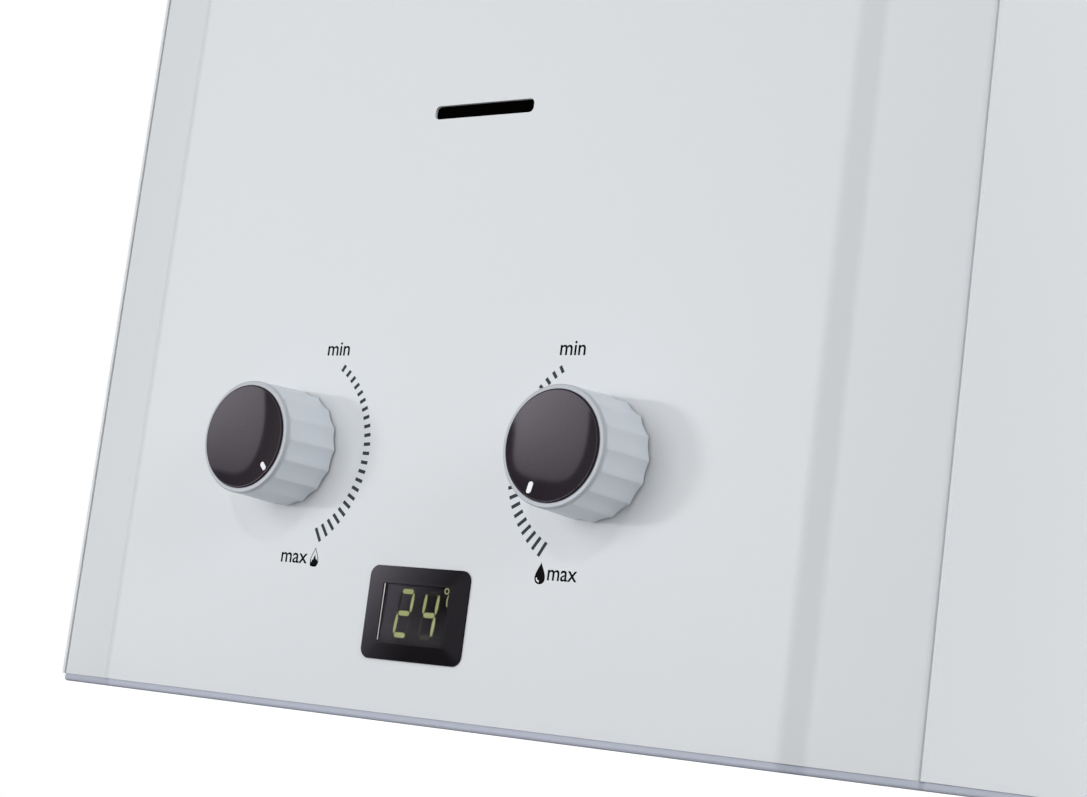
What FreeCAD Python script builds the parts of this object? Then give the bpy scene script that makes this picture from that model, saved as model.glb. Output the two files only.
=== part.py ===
"""Portable flow-through gas water heater, in millimetres.

+Z is up, the front faces -Y and +X is to the right of someone who faces it. The origin is the
centre of the base plate's underside, the face that the heater stands on.
"""
import FreeCAD
import Part
import math
import os

Vector = FreeCAD.Vector
X_AXIS = Vector(1, 0, 0)
Y_AXIS = Vector(0, 1, 0)
Z_AXIS = Vector(0, 0, 1)

# ---- driving dimensions: casing ----
case_width = 328.6
case_depth = 152.0
case_height = 540.0
panel_width = 262.0
strip_setback = 12.6
cove_width = 6.0
cove_depth = 4.6
cove_radius = 4.5
corner_radius = 2.6
cover_sheet = 1.0
side_sheet = 1.0
back_sheet = 1.2
top_sheet = 1.2
base_thickness = 2.4
base_inset = 0.5
base_edge_radius = 1.0
seam_depth = 13.0
side_flange = 13.0
return_flange = 9.0

# ---- hanging tab and screws ----
tab_width = 150.0
tab_height = 30.0
hanger_spacing = 100.0
hanger_hole_radius = 3.5
screw_shank_radius = 1.9
screw_head_radius = 3.9
screw_head_height = 1.6
screw_length = 6.0
screw_edge_distance = 7.0
screws_per_side = 4
air_slot_length = 52.0
air_slot_height = 3.6
air_slot_pitch = 9.0
air_slot_rows = 7
air_slot_columns = 3
air_slot_column_pitch = 70.0
air_slot_level = 40.0

# ---- flame window ----
slot_width = 38.6
slot_height = 4.3
slot_radius = 1.7
slot_level = 186.4
mica_margin = 5.0
mica_thickness = 0.8
mica_frame_border = 4.0
mica_frame_thickness = 1.5

# ---- knobs ----
knob_spacing = 118.4
knob_level = 80.1
knob_reach = 22.3
knob_gap = 0.8
knob_base_radius = 18.2
knob_front_radius = 17.4
knob_rim_drop = 0.7
knob_flutes = 17
flute_depth = 0.65
ridge_width = 0.9
ridge_rise = 0.09
knob_rim_width = 1.5
knob_edge_radius = 0.6
knob_shell = 2.6
cap_radius = 16.0
cap_thickness = 3.2
cap_edge_radius = 0.5
dish_depth = 2.1
hub_radius = 6.0
hub_clearance = 0.2
mark_orbit = 13.2
mark_length = 3.4
mark_width = 1.5
mark_proud = 0.1
mark_depth = 1.8
mark_clearance = 0.02
gas_mark_angle = -42.5
water_mark_angle = -116.2
gas_mark_tilt = 3.5
water_mark_tilt = 23.0
clip_thickness = 0.5
clip_width = 5.0

# ---- spindles and valves ----
spindle_radius = 3.0
running_clearance = 0.05
panel_hole_radius = 5.5
bush_flange_radius = 8.0
bush_flange_thickness = 1.6
valve_width = 49.0
valve_depth = 50.0
valve_height = 42.0
valve_setback = 20.0
spindle_engagement = 18.0
spindle_pocket_margin = 1.0
pipe_axis_setback = 45.0
solenoid_radius = 11.0
solenoid_length = 26.0
diaphragm_radius = 25.0
diaphragm_thickness = 18.0
bridge_radius = 8.0
saddle_width = 10.0
saddle_length = 19.0
saddle_offset = 7.0
rod_travel = 3.5
rod_clearance = 1.0
trip_size = 2.0
trip_height = 14.0
switch_height = 12.0
plunger_radius = 1.2
plunger_gap = 0.3
plunger_overlap = 4.0
plunger_level = 4.0
drain_radius = 4.0
drain_head_radius = 6.0
drain_length = 9.0

# ---- service ports ----
port_bore_radius = 9.3
port_bore_length = 14.0
port_body_radius = 12.5
port_length = 19.0
port_flange_radius = 16.0
port_flange_thickness = 2.0
port_lift = 0.5
port_clearance = 0.4
port_tail_radius = 7.0
pipe_radius = 7.0
pipe_wall = 1.0
pipe_bend = 16.0
hot_port_side_margin = 19.0

# ---- display and control box ----
display_width = 38.6
display_height = 27.9
display_level = 31.9
display_proud = 1.6
display_corner = 3.2
display_side_border = 6.4
display_top_border = 5.2
display_step = 0.5
display_lip = 0.4
display_opening_radius = 0.5
display_neck_inset = 2.6
display_neck_depth = 4.0
display_neck_clearance = 0.3
window_thickness = 0.8
window_recess = 0.5
window_ledge = 1.0
board_thickness = 1.6
control_width = 84.0
control_depth = 26.0
control_height = 47.0
control_wall = 2.0

# ---- battery drawer ----
cell_radius = 17.1
cell_length = 61.5
cell_gap = 0.4
cell_nub_radius = 4.5
cell_nub_length = 1.5
drawer_wall = 1.8
drawer_front_thickness = 2.6
drawer_front_proud = 1.2
drawer_clearance = 0.4
drawer_grip_radius = 8.0
drawer_grip_depth = 5.0
housing_wall = 1.6
housing_lift = 8.0
housing_setback = 96.0
contact_thickness = 0.6
contact_reach = 2.5

# ---- burner, heat exchanger and draft hood ----
chamber_front_room = 40.0
chamber_back_room = 28.0
chamber_width = 224.0
chamber_sheet = 1.0
burner_level = 130.0
burner_tray_height = 48.0
burner_count = 11
burner_thickness = 7.0
burner_height = 40.0
burner_inset = 5.0
burner_air_gap = 18.0
nozzle_radius = 2.2
nozzle_length = 7.0
nozzle_port_radius = 4.5
manifold_radius = 7.0
feed_radius = 5.0
manifold_setback = 26.0
manifold_overhang = 9.0
sight_margin = 2.0
chamber_height = 217.0
fin_height = 35.0
fin_thickness = 0.8
fin_count = 25
fin_clearance = 0.3
tube_passes = 4
tube_radius = 7.0
tube_bend_gap = 2.4
tube_overhang = 11.0
bracket_width = 20.0
bracket_height = 20.0
bracket_level = 240.0
electrode_offset = 15.0
electrode_rise = 14.0
ceramic_radius = 4.0
ceramic_length = 24.0
ceramic_clearance = 0.3
ceramic_flange_radius = 7.0
electrode_radius = 1.0
electrode_reach = 22.0
lead_radius = 1.5
lead_bend = 4.0
lead_setback = 10.0
cutout_radius = 8.0
cutout_thickness = 5.0
cutout_offset = 60.0
cutout_level = 330.0
hood_sheet = 0.8
flue_width = 196.0
flue_margin = 13.0

# ---- rain cap and carrying handle ----
rain_width = 224.0
rain_margin = 3.0
rain_height = 24.0
rain_sheet = 1.0
rain_slot_height = 5.0
rain_slot_width = 22.0
rain_slot_gap = 8.0
rain_slot_level = 7.0
bail_radius = 4.0
bail_bend = 12.0
bail_side_gap = 6.0
bail_arm = 58.0
pivot_lift = 9.0
pivot_radius = 3.0
ear_thickness = 2.5
ear_width = 16.0
ear_gap = 1.0
ear_foot = 12.0
ear_foot_thickness = 2.0
grip_radius = 8.0
grip_length = 118.0
grip_edge_radius = 1.5
grip_back_gap = 0.8

# ---- derived places ----
half_width = case_width / 2
front_y = -case_depth / 2
back_y = case_depth / 2
back_inner_y = back_y - back_sheet
case_top = case_height
body_top = case_height - top_sheet
body_bottom = base_thickness
side_inner_x = half_width - side_sheet
knob_x = knob_spacing / 2
cap_face_y = front_y - knob_reach
valve_front_y = front_y + valve_setback
valve_back_y = valve_front_y + valve_depth
valve_bottom = knob_level - valve_height / 2
valve_top = knob_level + valve_height / 2
valve_inner_x = knob_x - valve_width / 2
pipe_y = front_y + pipe_axis_setback
chamber_front_y = front_y + chamber_front_room
chamber_back_y = back_y - chamber_back_room
chamber_depth = chamber_back_y - chamber_front_y
chamber_y = (chamber_front_y + chamber_back_y) / 2
chamber_bottom = burner_level + burner_tray_height
chamber_top = chamber_bottom + chamber_height
fin_top = chamber_top + fin_height
tube_level = chamber_top + fin_height / 2
tube_pitch = chamber_depth / tube_passes
tube_bend = (tube_pitch - tube_bend_gap) / 2
tube_end_x = chamber_width / 2 + tube_overhang + tube_radius
first_tube_y = chamber_front_y + tube_pitch / 2
last_tube_y = chamber_back_y - tube_pitch / 2
hot_port_x = side_inner_x - hot_port_side_margin
burner_pitch = (chamber_width - 2 * burner_inset) / burner_count
flue_depth = chamber_depth - 2 * flue_margin
rain_depth = chamber_depth + 2 * rain_margin
grip_y = back_inner_y - grip_back_gap - grip_radius
pivot_y = grip_y - bail_arm
pivot_z = case_top + pivot_lift
bail_x = rain_width / 2 + bail_side_gap + bail_radius
ear_x = bail_x + bail_radius + ear_gap
control_top = body_bottom + control_height
control_front_y = front_y + cover_sheet + display_neck_depth + board_thickness


# ---- small builders ----
def block(x0, x1, y0, y1, z0, z1):
    """Box between two corners."""
    return Part.makeBox(x1 - x0, y1 - y0, z1 - z0, Vector(x0, y0, z0))


def rod(x, y, z, direction, radius, length):
    """Round bar from a point along a direction."""
    return Part.makeCylinder(radius, length, Vector(x, y, z), direction)


def rounded_slab(width, height, radius, y0, y1, x, z):
    """Plate with round corners that faces the front, centred on x and z."""
    slab = block(x - width / 2, x + width / 2, y0, y1, z - height / 2, z + height / 2)
    upright = [e for e in slab.Edges if abs(e.tangentAt(e.FirstParameter).y) > 0.9]
    return slab.makeFillet(radius, upright)


def prism(points, z0, z1):
    """Upright prism over a polygon of x, y points."""
    corners = [Vector(x, y, z0) for x, y in points]
    return Part.Face(Part.makePolygon(corners + corners[:1])).extrude(Vector(0, 0, z1 - z0))


def union(shapes):
    """One solid from shapes that touch or overlap."""
    whole = shapes[0].fuse(shapes[1:]) if len(shapes) > 1 else shapes[0]
    return whole.removeSplitter()


def path_edges(points, radii, z):
    """Straight runs through x, y points, with a tangent arc of its own radius at each inner point."""
    corners = [Vector(x, y, z) for x, y in points]
    edges = []
    start = corners[0]
    for before, corner, after, radius in zip(corners, corners[1:], corners[2:], radii):
        toward = (before - corner).normalize()
        onward = (after - corner).normalize()
        opening = toward.getAngle(onward)
        reach = radius / math.tan(opening / 2)
        first = corner + toward * reach
        last = corner + onward * reach
        bisector = (toward + onward).normalize()
        centre = corner + bisector * (radius / math.sin(opening / 2))
        middle = centre - bisector * radius
        edges.append(Part.LineSegment(start, first).toShape())
        edges.append(Part.Arc(first, middle, last).toShape())
        start = last
    edges.append(Part.LineSegment(start, corners[-1]).toShape())
    return edges


def offset_points(points, distance):
    """The same open run of x, y points, moved to its left by a distance."""
    lines = []
    for (x0, y0), (x1, y1) in zip(points, points[1:]):
        length = math.hypot(x1 - x0, y1 - y0)
        nx = -(y1 - y0) / length * distance
        ny = (x1 - x0) / length * distance
        lines.append(((x0 + nx, y0 + ny), (x1 + nx, y1 + ny)))
    moved = [lines[0][0]]
    for (a, b), (c, d) in zip(lines, lines[1:]):
        ux, uy = b[0] - a[0], b[1] - a[1]
        vx, vy = d[0] - c[0], d[1] - c[1]
        share = ((c[0] - a[0]) * vy - (c[1] - a[1]) * vx) / (ux * vy - uy * vx)
        moved.append((a[0] + ux * share, a[1] + uy * share))
    moved.append(lines[-1][1])
    return moved


def pipe(points, radius, bend, wall=0.0):
    """Round bar or tube through points, with a round bend at each inner point."""
    solids = [pipe_core(points, radius, bend)]
    if wall > 0:
        return solids[0].cut(pipe_core(points, radius - wall, bend))
    return solids[0]


def pipe_core(points, radius, bend):
    """Solid bar of the pipe: straight runs and quarter or lesser bends."""
    pieces = []
    start = points[0]
    for before, corner, after in zip(points, points[1:], points[2:]):
        toward = (before - corner).normalize()
        onward = (after - corner).normalize()
        opening = toward.getAngle(onward)
        reach = bend / math.tan(opening / 2)
        first = corner + toward * reach
        centre = corner + (toward + onward).normalize() * (bend / math.sin(opening / 2))
        pieces.append(Part.makeCylinder(radius, (first - start).Length, start, toward * -1))
        circle = Part.Wire(Part.makeCircle(radius, first, toward * -1))
        hinge = toward.cross(onward) * -1
        turn = 180 - math.degrees(opening)
        pieces.append(Part.Face(circle).revolve(centre, hinge, turn))
        start = corner + onward * reach
    last = points[-1]
    pieces.append(Part.makeCylinder(radius, (last - start).Length, start, last - start))
    return union(pieces)


def mirrored(shape):
    """The same shape on the other side of the middle plane."""
    return shape.mirror(Vector(0, 0, 0), X_AXIS)


def save(node, shape):
    """Writes one sub-part and says how large it is."""
    solids = shape.Solids
    whole = solids[0] if len(solids) == 1 else Part.makeCompound(solids)
    if not solids or not whole.isValid():
        raise ValueError(node + " is not a valid solid")
    whole.exportStep("parts/" + node + ".step")
    print(f"{node:24s} solids {len(solids):3d}  volume {whole.Volume:12.1f}")


# ---- casing ----
def plan_points(edge_x, end_y):
    """Front outline in plan, from the left end round to the right end: coves, strips and side folds."""
    right = [
        (panel_width / 2 - cove_width / 2, front_y),
        (panel_width / 2 + cove_width / 2, front_y + cove_depth),
        (edge_x, front_y + strip_setback),
        (edge_x, end_y),
    ]
    left = [(-x, y) for x, y in reversed(right)]
    return left + right


def plan_radii(inset):
    """Bend radii along the plan: an inset takes from the convex bends and adds to the coves."""
    convex = cove_radius - inset
    cove = cove_radius + inset
    corner = corner_radius - inset
    return [corner, cove, convex, convex, cove, corner]


def plan_slab(edge_x, end_y, inset, z0, z1):
    """Solid plate with the front outline and a straight rear edge."""
    points = offset_points(plan_points(edge_x, end_y), inset)
    edges = path_edges(points, plan_radii(inset), z0)
    first, last = points[0], points[-1]
    edges.append(Part.LineSegment(Vector(last[0], last[1], z0), Vector(first[0], first[1], z0)).toShape())
    return Part.Face(Part.Wire(Part.__sortEdges__(edges))).extrude(Vector(0, 0, z1 - z0))


def front_cover():
    """Pressed front: raised flat panel, a cove and a sloping strip on each side, folded into the seams."""
    fold_y = front_y + strip_setback + seam_depth
    outer = plan_slab(side_inner_x, fold_y, 0.0, body_bottom, body_top)
    inner = plan_slab(side_inner_x, fold_y, cover_sheet, body_bottom + cover_sheet, body_top - cover_sheet)
    cover = outer.cut(inner)
    flange_y = front_y + strip_setback + return_flange
    for z0, z1 in ((body_bottom, body_bottom + cover_sheet), (body_top - cover_sheet, body_top)):
        wide = side_inner_x - cover_sheet
        cover = cover.cut(block(-wide, wide, flange_y, fold_y + 1, z0 - 1, z1 + 1))
    through = front_y + cover_sheet
    cover = cover.cut(rounded_slab(slot_width, slot_height, slot_radius, front_y - 1, through + 1, 0,
                                   slot_level))
    cover = cover.cut(display_neck(display_neck_clearance, front_y - 1, through + 1))
    for x in (-knob_x, knob_x):
        cover = cover.cut(rod(x, front_y - 1, knob_level, Y_AXIS, panel_hole_radius, cover_sheet + 2))
    for x, y in lid_screw_places():
        cover = cover.cut(rod(x, y, body_top - cover_sheet - 1, Z_AXIS, screw_shank_radius, cover_sheet + 2))
    return cover


def side_panel():
    """Right side: flat sheet with a rear flange against the back plate."""
    front = front_y + strip_setback
    sheet = block(side_inner_x, half_width, front, back_inner_y, body_bottom, body_top)
    flange = block(half_width - side_flange, half_width, back_inner_y - side_sheet, back_inner_y,
                   body_bottom, body_top)
    panel = union([sheet, flange])
    for z in screw_levels():
        panel = panel.cut(rod(back_screw_x(), back_inner_y - side_sheet - 1, z, Y_AXIS,
                              screw_shank_radius, side_sheet + 2))
    return panel


def left_side_panel():
    """Left side: the same sheet with the battery drawer's opening."""
    y0, y1, z0, z1 = drawer_bounds()
    c = drawer_clearance
    opening = block(-half_width - 1, -side_inner_x + 1, y0 - c, y1 + c, z0 - c, z1 + c)
    return mirrored(side_panel()).cut(opening)


def back_screw_x():
    """Distance of the back screws from the middle."""
    return half_width - screw_edge_distance


def screw_levels():
    """Heights of the back screws."""
    low = body_bottom + 3 * screw_edge_distance
    high = body_top - 3 * screw_edge_distance
    step = (high - low) / (screws_per_side - 1)
    return [low + step * i for i in range(screws_per_side)]


def back_plate():
    """Flat back with a hanging tab that stands above the case."""
    plate = block(-half_width, half_width, back_inner_y, back_y, body_bottom, body_top)
    tab = block(-tab_width / 2, tab_width / 2, back_inner_y, back_y, body_top, case_top + tab_height)
    ends = [e for e in tab.Edges if abs(e.tangentAt(e.FirstParameter).y) > 0.9]
    ends = [e for e in ends if e.CenterOfMass.z > case_top]
    plate = union([plate, tab.makeFillet(tab_height / 4, ends)])
    for x in (-hanger_spacing / 2, hanger_spacing / 2):
        plate = plate.cut(rod(x, back_inner_y - 1, hanger_level(), Y_AXIS, hanger_hole_radius,
                              back_sheet + 2))
    for z in screw_levels():
        for x in (-back_screw_x(), back_screw_x()):
            plate = plate.cut(rod(x, back_inner_y - 1, z, Y_AXIS, screw_shank_radius, back_sheet + 2))
    return plate.cut(air_slots())


def air_slots():
    """Rows of rounded slots behind the valves that let combustion air in."""
    slots = []
    for row in range(air_slot_rows):
        for column in range(air_slot_columns):
            x = (column - (air_slot_columns - 1) / 2) * air_slot_column_pitch
            z = air_slot_level + row * air_slot_pitch
            slots.append(rounded_slab(air_slot_length, air_slot_height, air_slot_height / 2 - 0.01,
                                      back_inner_y - 1, back_y + 1, x, z))
    return slots


def hanger_level():
    """Height of the two hanging holes."""
    return case_top + tab_height * 0.55


def top_plate():
    """Lid of the case with the flue opening."""
    lid = plan_slab(half_width, back_y, 0.0, body_top, case_top)
    lid = lid.cut(block(-tab_width / 2, tab_width / 2, back_inner_y, back_y + 1, body_top - 1, case_top + 1))
    lid = lid.cut(block(-flue_width / 2, flue_width / 2, chamber_y - flue_depth / 2,
                        chamber_y + flue_depth / 2, body_top - 1, case_top + 1))
    for x, y in ear_screw_places() + lid_screw_places():
        lid = lid.cut(rod(x, y, body_top - 1, Z_AXIS, screw_shank_radius, top_sheet + 2))
    return lid


def ear_screw_places():
    """Screws through the handle ears' feet and the lid."""
    x = ear_x + ear_thickness + ear_foot / 2
    return [(-x, pivot_y), (x, pivot_y)]


def lid_screw_places():
    """Screws through the lid into the cover's top flange."""
    y = front_y + strip_setback + return_flange / 2
    return [(-knob_x, y), (knob_x, y)]


def base_plate():
    """Floor of the case, a little inside the cover's outline, with the three port holes."""
    plate = plan_slab(half_width, back_y - base_inset, base_inset, 0.0, base_thickness)
    low = [e for e in plate.Edges if e.BoundBox.ZMax < 1e-6]
    plate = plate.makeFillet(base_edge_radius, low)
    for x, y in port_places():
        plate = plate.cut(rod(x, y, -1, Z_AXIS, port_body_radius + port_clearance, base_thickness + 2))
    return plate


def port_places():
    """Gas inlet, cold water inlet and hot water outlet, as x and y."""
    return [(-knob_x, pipe_y), (knob_x, pipe_y), (hot_port_x, last_tube_y)]


def pan_screw(x, y, z, direction):
    """Pan-head screw whose head seats at a point and whose shank runs along a direction."""
    head = Part.makeCylinder(screw_head_radius, screw_head_height, Vector(x, y, z), direction * -1)
    rim = [e for e in head.Edges if e.Length > screw_head_radius and e.Closed]
    rim.sort(key=lambda e: (e.CenterOfMass - Vector(x, y, z)).Length)
    head = head.makeFillet(screw_head_height * 0.6, [rim[-1]])
    slot_turn = Part.makeCylinder(screw_head_radius / 3, screw_head_height / 2,
                                  Vector(x, y, z) - direction * screw_head_height, direction)
    shank = Part.makeCylinder(screw_shank_radius - running_clearance, screw_length, Vector(x, y, z),
                              direction)
    return union([head.cut(slot_turn), shank])


def back_screws():
    """Screws through the back plate into the side panels' flanges."""
    places = [(x, z) for z in screw_levels() for x in (-back_screw_x(), back_screw_x())]
    return Part.makeCompound([pan_screw(x, back_y, z, Y_AXIS * -1) for x, z in places])


def top_screws():
    """Screws that hold the lid, two of them through the handle's ears."""
    down = Z_AXIS * -1
    screws = [pan_screw(x, y, case_top + ear_foot_thickness, down) for x, y in ear_screw_places()]
    screws += [pan_screw(x, y, case_top, down) for x, y in lid_screw_places()]
    return Part.makeCompound(screws)


# ---- flame window ----
def flame_window():
    """Mica sheet behind the slot."""
    y0 = front_y + cover_sheet
    return block(-slot_width / 2 - mica_margin, slot_width / 2 + mica_margin, y0, y0 + mica_thickness,
                 slot_level - slot_height / 2 - mica_margin, slot_level + slot_height / 2 + mica_margin)


def window_frame():
    """Pressed frame that holds the mica sheet against the cover."""
    half = slot_width / 2 + mica_margin
    rise = slot_height / 2 + mica_margin
    b = mica_frame_border
    y0 = front_y + cover_sheet
    y1 = y0 + mica_thickness + mica_frame_thickness
    frame = block(-half - b, half + b, y0, y1, slot_level - rise - b, slot_level + rise + b)
    frame = frame.cut(block(-half, half, y0 - 1, y0 + mica_thickness, slot_level - rise, slot_level + rise))
    sight = rounded_slab(slot_width + 2, slot_height + 2, slot_radius, y0 - 1, y1 + 1, 0, slot_level)
    return frame.cut(sight)


# ---- knobs ----
def flute_outline(x, radius, y):
    """Closed outline of hollow flutes with narrow rounded ridges between them."""
    step = 2 * math.pi / knob_flutes
    half_ridge = ridge_width / (2 * radius)
    shoulder = radius - ridge_rise
    centre = Vector(x, y, knob_level)
    arcs = []
    for i in range(knob_flutes):
        ridge = i * step
        start = centre + polar(shoulder, ridge - half_ridge)
        end = centre + polar(shoulder, ridge + half_ridge)
        valley = centre + polar(radius - flute_depth, ridge + step / 2)
        following = centre + polar(shoulder, ridge + step - half_ridge)
        arcs.append(Part.Arc(start, centre + polar(radius, ridge), end))
        arcs.append(Part.Arc(end, valley, following))
    return Part.Wire([arc.toShape() for arc in arcs])


def polar(radius, turn):
    """Point at a radius and an angle in the front plane."""
    return Vector(radius * math.cos(turn), 0, radius * math.sin(turn))


def knob_body(x):
    """Fluted hollow knob that flares to its base, with a plain rim and a hub for the spindle."""
    base_y = front_y - knob_gap
    front = cap_face_y + knob_rim_drop
    rim_y = front + knob_rim_width
    flare = (knob_base_radius - knob_front_radius) / (base_y - front)
    rim_radius = knob_front_radius + flare * knob_rim_width
    rim = Part.makeCone(rim_radius, knob_front_radius, knob_rim_width,
                        Vector(x, rim_y, knob_level), Y_AXIS * -1)
    edge = [e for e in rim.Edges if e.Closed and e.CenterOfMass.y < front + 0.01]
    rim = rim.makeFillet(knob_edge_radius, edge)
    barrel = Part.makeLoft([flute_outline(x, rim_radius, rim_y), flute_outline(x, knob_base_radius, base_y)],
                           True, True)
    outer = union([rim, barrel])
    seat_y = cap_face_y + cap_thickness
    hollow_front = seat_y + knob_shell
    outer = outer.cut(rod(x, front - 1, knob_level, Y_AXIS, cap_radius + mark_clearance, seat_y - front + 1))
    hollow = rod(x, hollow_front, knob_level, Y_AXIS, cap_radius - knob_shell / 2, base_y - hollow_front + 1)
    hub = rod(x, hollow_front - 0.5, knob_level, Y_AXIS, hub_radius, base_y - hollow_front + 0.5)
    body = union([outer.cut(hollow), hub])
    bore = spindle_radius + hub_clearance
    return body.cut(rod(x, hollow_front, knob_level, Y_AXIS, bore, base_y - hollow_front + 1))


def mark_slab(x, angle, tilt, grow, y0, y1):
    """Pill shape of the pointer mark at its angle, tilted off the radius about its own middle."""
    slab = rounded_slab(mark_length + 2 * grow, mark_width + 2 * grow, mark_width / 2 + grow - 0.01,
                        y0, y1, x + mark_orbit, knob_level)
    slab.rotate(Vector(x + mark_orbit, 0, knob_level), Y_AXIS, -tilt)
    slab.rotate(Vector(x, 0, knob_level), Y_AXIS, -angle)
    return slab


def dish_ball(x, rise):
    """Ball whose far side is the cap's dished face, or a face that stands proud of it by a rise."""
    dish_radius = cap_radius - cap_edge_radius
    ball_radius = (dish_radius ** 2 + dish_depth ** 2) / (2 * dish_depth)
    return Part.makeSphere(ball_radius - rise, Vector(x, cap_face_y + dish_depth - ball_radius, knob_level))


def knob_cap(x, angle, tilt):
    """Dark round cap with a dished face and a pocket for the pointer mark."""
    cap = rod(x, cap_face_y, knob_level, Y_AXIS, cap_radius, cap_thickness)
    rim = [e for e in cap.Edges if e.Closed and e.CenterOfMass.y < cap_face_y + 0.01]
    cap = cap.makeFillet(cap_edge_radius, rim).cut(dish_ball(x, 0.0))
    return cap.cut(mark_slab(x, angle, tilt, mark_clearance, cap_face_y - 1, cap_face_y + mark_depth))


def knob_mark(x, angle, tilt):
    """White pointer mark set in the cap."""
    mark = mark_slab(x, angle, tilt, 0.0, cap_face_y - mark_proud, cap_face_y + mark_depth)
    return mark.cut(dish_ball(x, mark_proud))


def spindle(x):
    """Brass spindle from the valve through the panel into the knob's hub."""
    start = cap_face_y + cap_thickness + knob_shell + running_clearance
    end = valve_front_y + spindle_engagement
    shaft = rod(x, start, knob_level, Y_AXIS, spindle_radius, end - start)
    flat = block(x - spindle_radius, x + spindle_radius, start - 1, front_y - knob_gap,
                 knob_level + spindle_radius * 0.6, knob_level + spindle_radius + 1)
    return shaft.cut(flat)


def knob_clip(x):
    """Flat spring in the hub that bears on the spindle's flat."""
    z0 = knob_level + spindle_radius * 0.6
    y1 = front_y - knob_gap - 1
    half = spindle_radius / 2
    return block(x - half, x + half, y1 - clip_width, y1, z0, z0 + clip_thickness)


# ---- valves ----
def gas_valve_body():
    """Gas valve block with the spindle's bore and the pocket that the push rod opens."""
    body = valve_block(-knob_x)
    pocket_end = -valve_inner_x - rod_reach() - rod_travel - rod_clearance
    pocket = rod(pocket_end, pipe_y, knob_level, X_AXIS, spindle_radius + rod_clearance,
                 -valve_inner_x - pocket_end)
    return body.cut(pocket)


def rod_reach():
    """How far the push rod stands into the gas valve at rest."""
    return spindle_radius + running_clearance * 10


def valve_block(x):
    """Cast valve body with rounded upright edges and the spindle's bore."""
    half = valve_width / 2
    body = block(x - half, x + half, valve_front_y, valve_back_y, valve_bottom, valve_top)
    upright = [e for e in body.Edges if abs(e.tangentAt(e.FirstParameter).z) > 0.9]
    body = body.makeFillet(spindle_radius, upright)
    depth = spindle_engagement + spindle_pocket_margin
    return body.cut(rod(x, valve_front_y - 1, knob_level, Y_AXIS, spindle_radius + running_clearance,
                        depth + 1))


def water_valve_body():
    """Water valve block with the drain screw's hole in its right face."""
    body = valve_block(knob_x)
    right = knob_x + valve_width / 2
    hole = rod(right - drain_length, pipe_y, knob_level, X_AXIS, drain_radius + running_clearance,
               drain_length + 1)
    return body.cut(hole)


def drain_screw():
    """Frost drain screw in the side of the water valve."""
    right = knob_x + valve_width / 2
    shank = rod(right - drain_length + spindle_pocket_margin, pipe_y, knob_level, X_AXIS, drain_radius,
                drain_length - spindle_pocket_margin)
    head = rod(right, pipe_y, knob_level, X_AXIS, drain_head_radius, drain_radius)
    return union([shank, head])


def spindle_bushes():
    """Plastic bushes on the valve faces that guide the spindles behind the panel."""
    bushes = []
    for x in (-knob_x, knob_x):
        tube_front = front_y + cover_sheet + running_clearance * 6
        bush = rod(x, tube_front, knob_level, Y_AXIS, panel_hole_radius, valve_front_y - tube_front)
        flange = rod(x, valve_front_y - bush_flange_thickness, knob_level, Y_AXIS, bush_flange_radius,
                     bush_flange_thickness)
        bore = rod(x, tube_front - 1, knob_level, Y_AXIS, spindle_radius + running_clearance,
                   valve_setback + 2)
        bushes.append(union([bush, flange]).cut(bore))
    return Part.makeCompound(bushes)


def gas_solenoid():
    """Safety solenoid on the back of the gas valve."""
    coil = rod(-knob_x, valve_back_y, knob_level, Y_AXIS, solenoid_radius, solenoid_length)
    nut = rod(-knob_x, valve_back_y + solenoid_length, knob_level, Y_AXIS, solenoid_radius / 2,
              solenoid_radius / 2)
    return union([coil, nut])


def diaphragm_cover():
    """Round housing of the water valve's diaphragm, on the valve's inner face."""
    inner = valve_inner_x - diaphragm_thickness
    cover = rod(inner, pipe_y, knob_level, X_AXIS, diaphragm_radius, diaphragm_thickness)
    rim = [e for e in cover.Edges if e.Closed and e.CenterOfMass.x < inner + 0.01]
    cover = cover.makeFillet(diaphragm_thickness / 4, rim)
    return cover.cut(rod(inner - 1, pipe_y, knob_level, X_AXIS, spindle_radius + rod_clearance,
                         diaphragm_thickness - rod_clearance + 1))


def bridge_end():
    """Right end of the bridge, on the diaphragm cover."""
    return valve_inner_x - diaphragm_thickness


def valve_bridge():
    """Tube that joins the valves and guides the push rod, with a saddle for the flow switch."""
    start = -valve_inner_x
    tube = rod(start, pipe_y, knob_level, X_AXIS, bridge_radius, bridge_end() - start)
    saddle = block(-saddle_offset - saddle_length, -saddle_offset, pipe_y - saddle_width / 2,
                   pipe_y + saddle_width / 2, knob_level, knob_level + bridge_radius)
    bridge = union([tube, saddle])
    bridge = bridge.cut(rod(start - 1, pipe_y, knob_level, X_AXIS, spindle_radius + running_clearance,
                            bridge_end() - start + 2))
    half = trip_size / 2 + rod_clearance
    slot = block(-half - rod_travel, half, pipe_y - half, pipe_y + half, knob_level,
                 knob_level + bridge_radius + 1)
    return bridge.cut(slot)


def push_rod():
    """Rod that the diaphragm pushes into the gas valve, with the arm that trips the flow switch."""
    start = -valve_inner_x - rod_reach()
    end = valve_inner_x - 2 * rod_clearance
    bar = rod(start, pipe_y, knob_level, X_AXIS, spindle_radius, end - start)
    half = trip_size / 2
    arm = block(-half, half, pipe_y - half, pipe_y + half, knob_level, knob_level + trip_height)
    return union([bar, arm])


def switch_face_x():
    """Right face of the flow switch."""
    return -saddle_offset


def plunger_z():
    """Height of the flow switch's plunger."""
    return knob_level + bridge_radius + plunger_level


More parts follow.
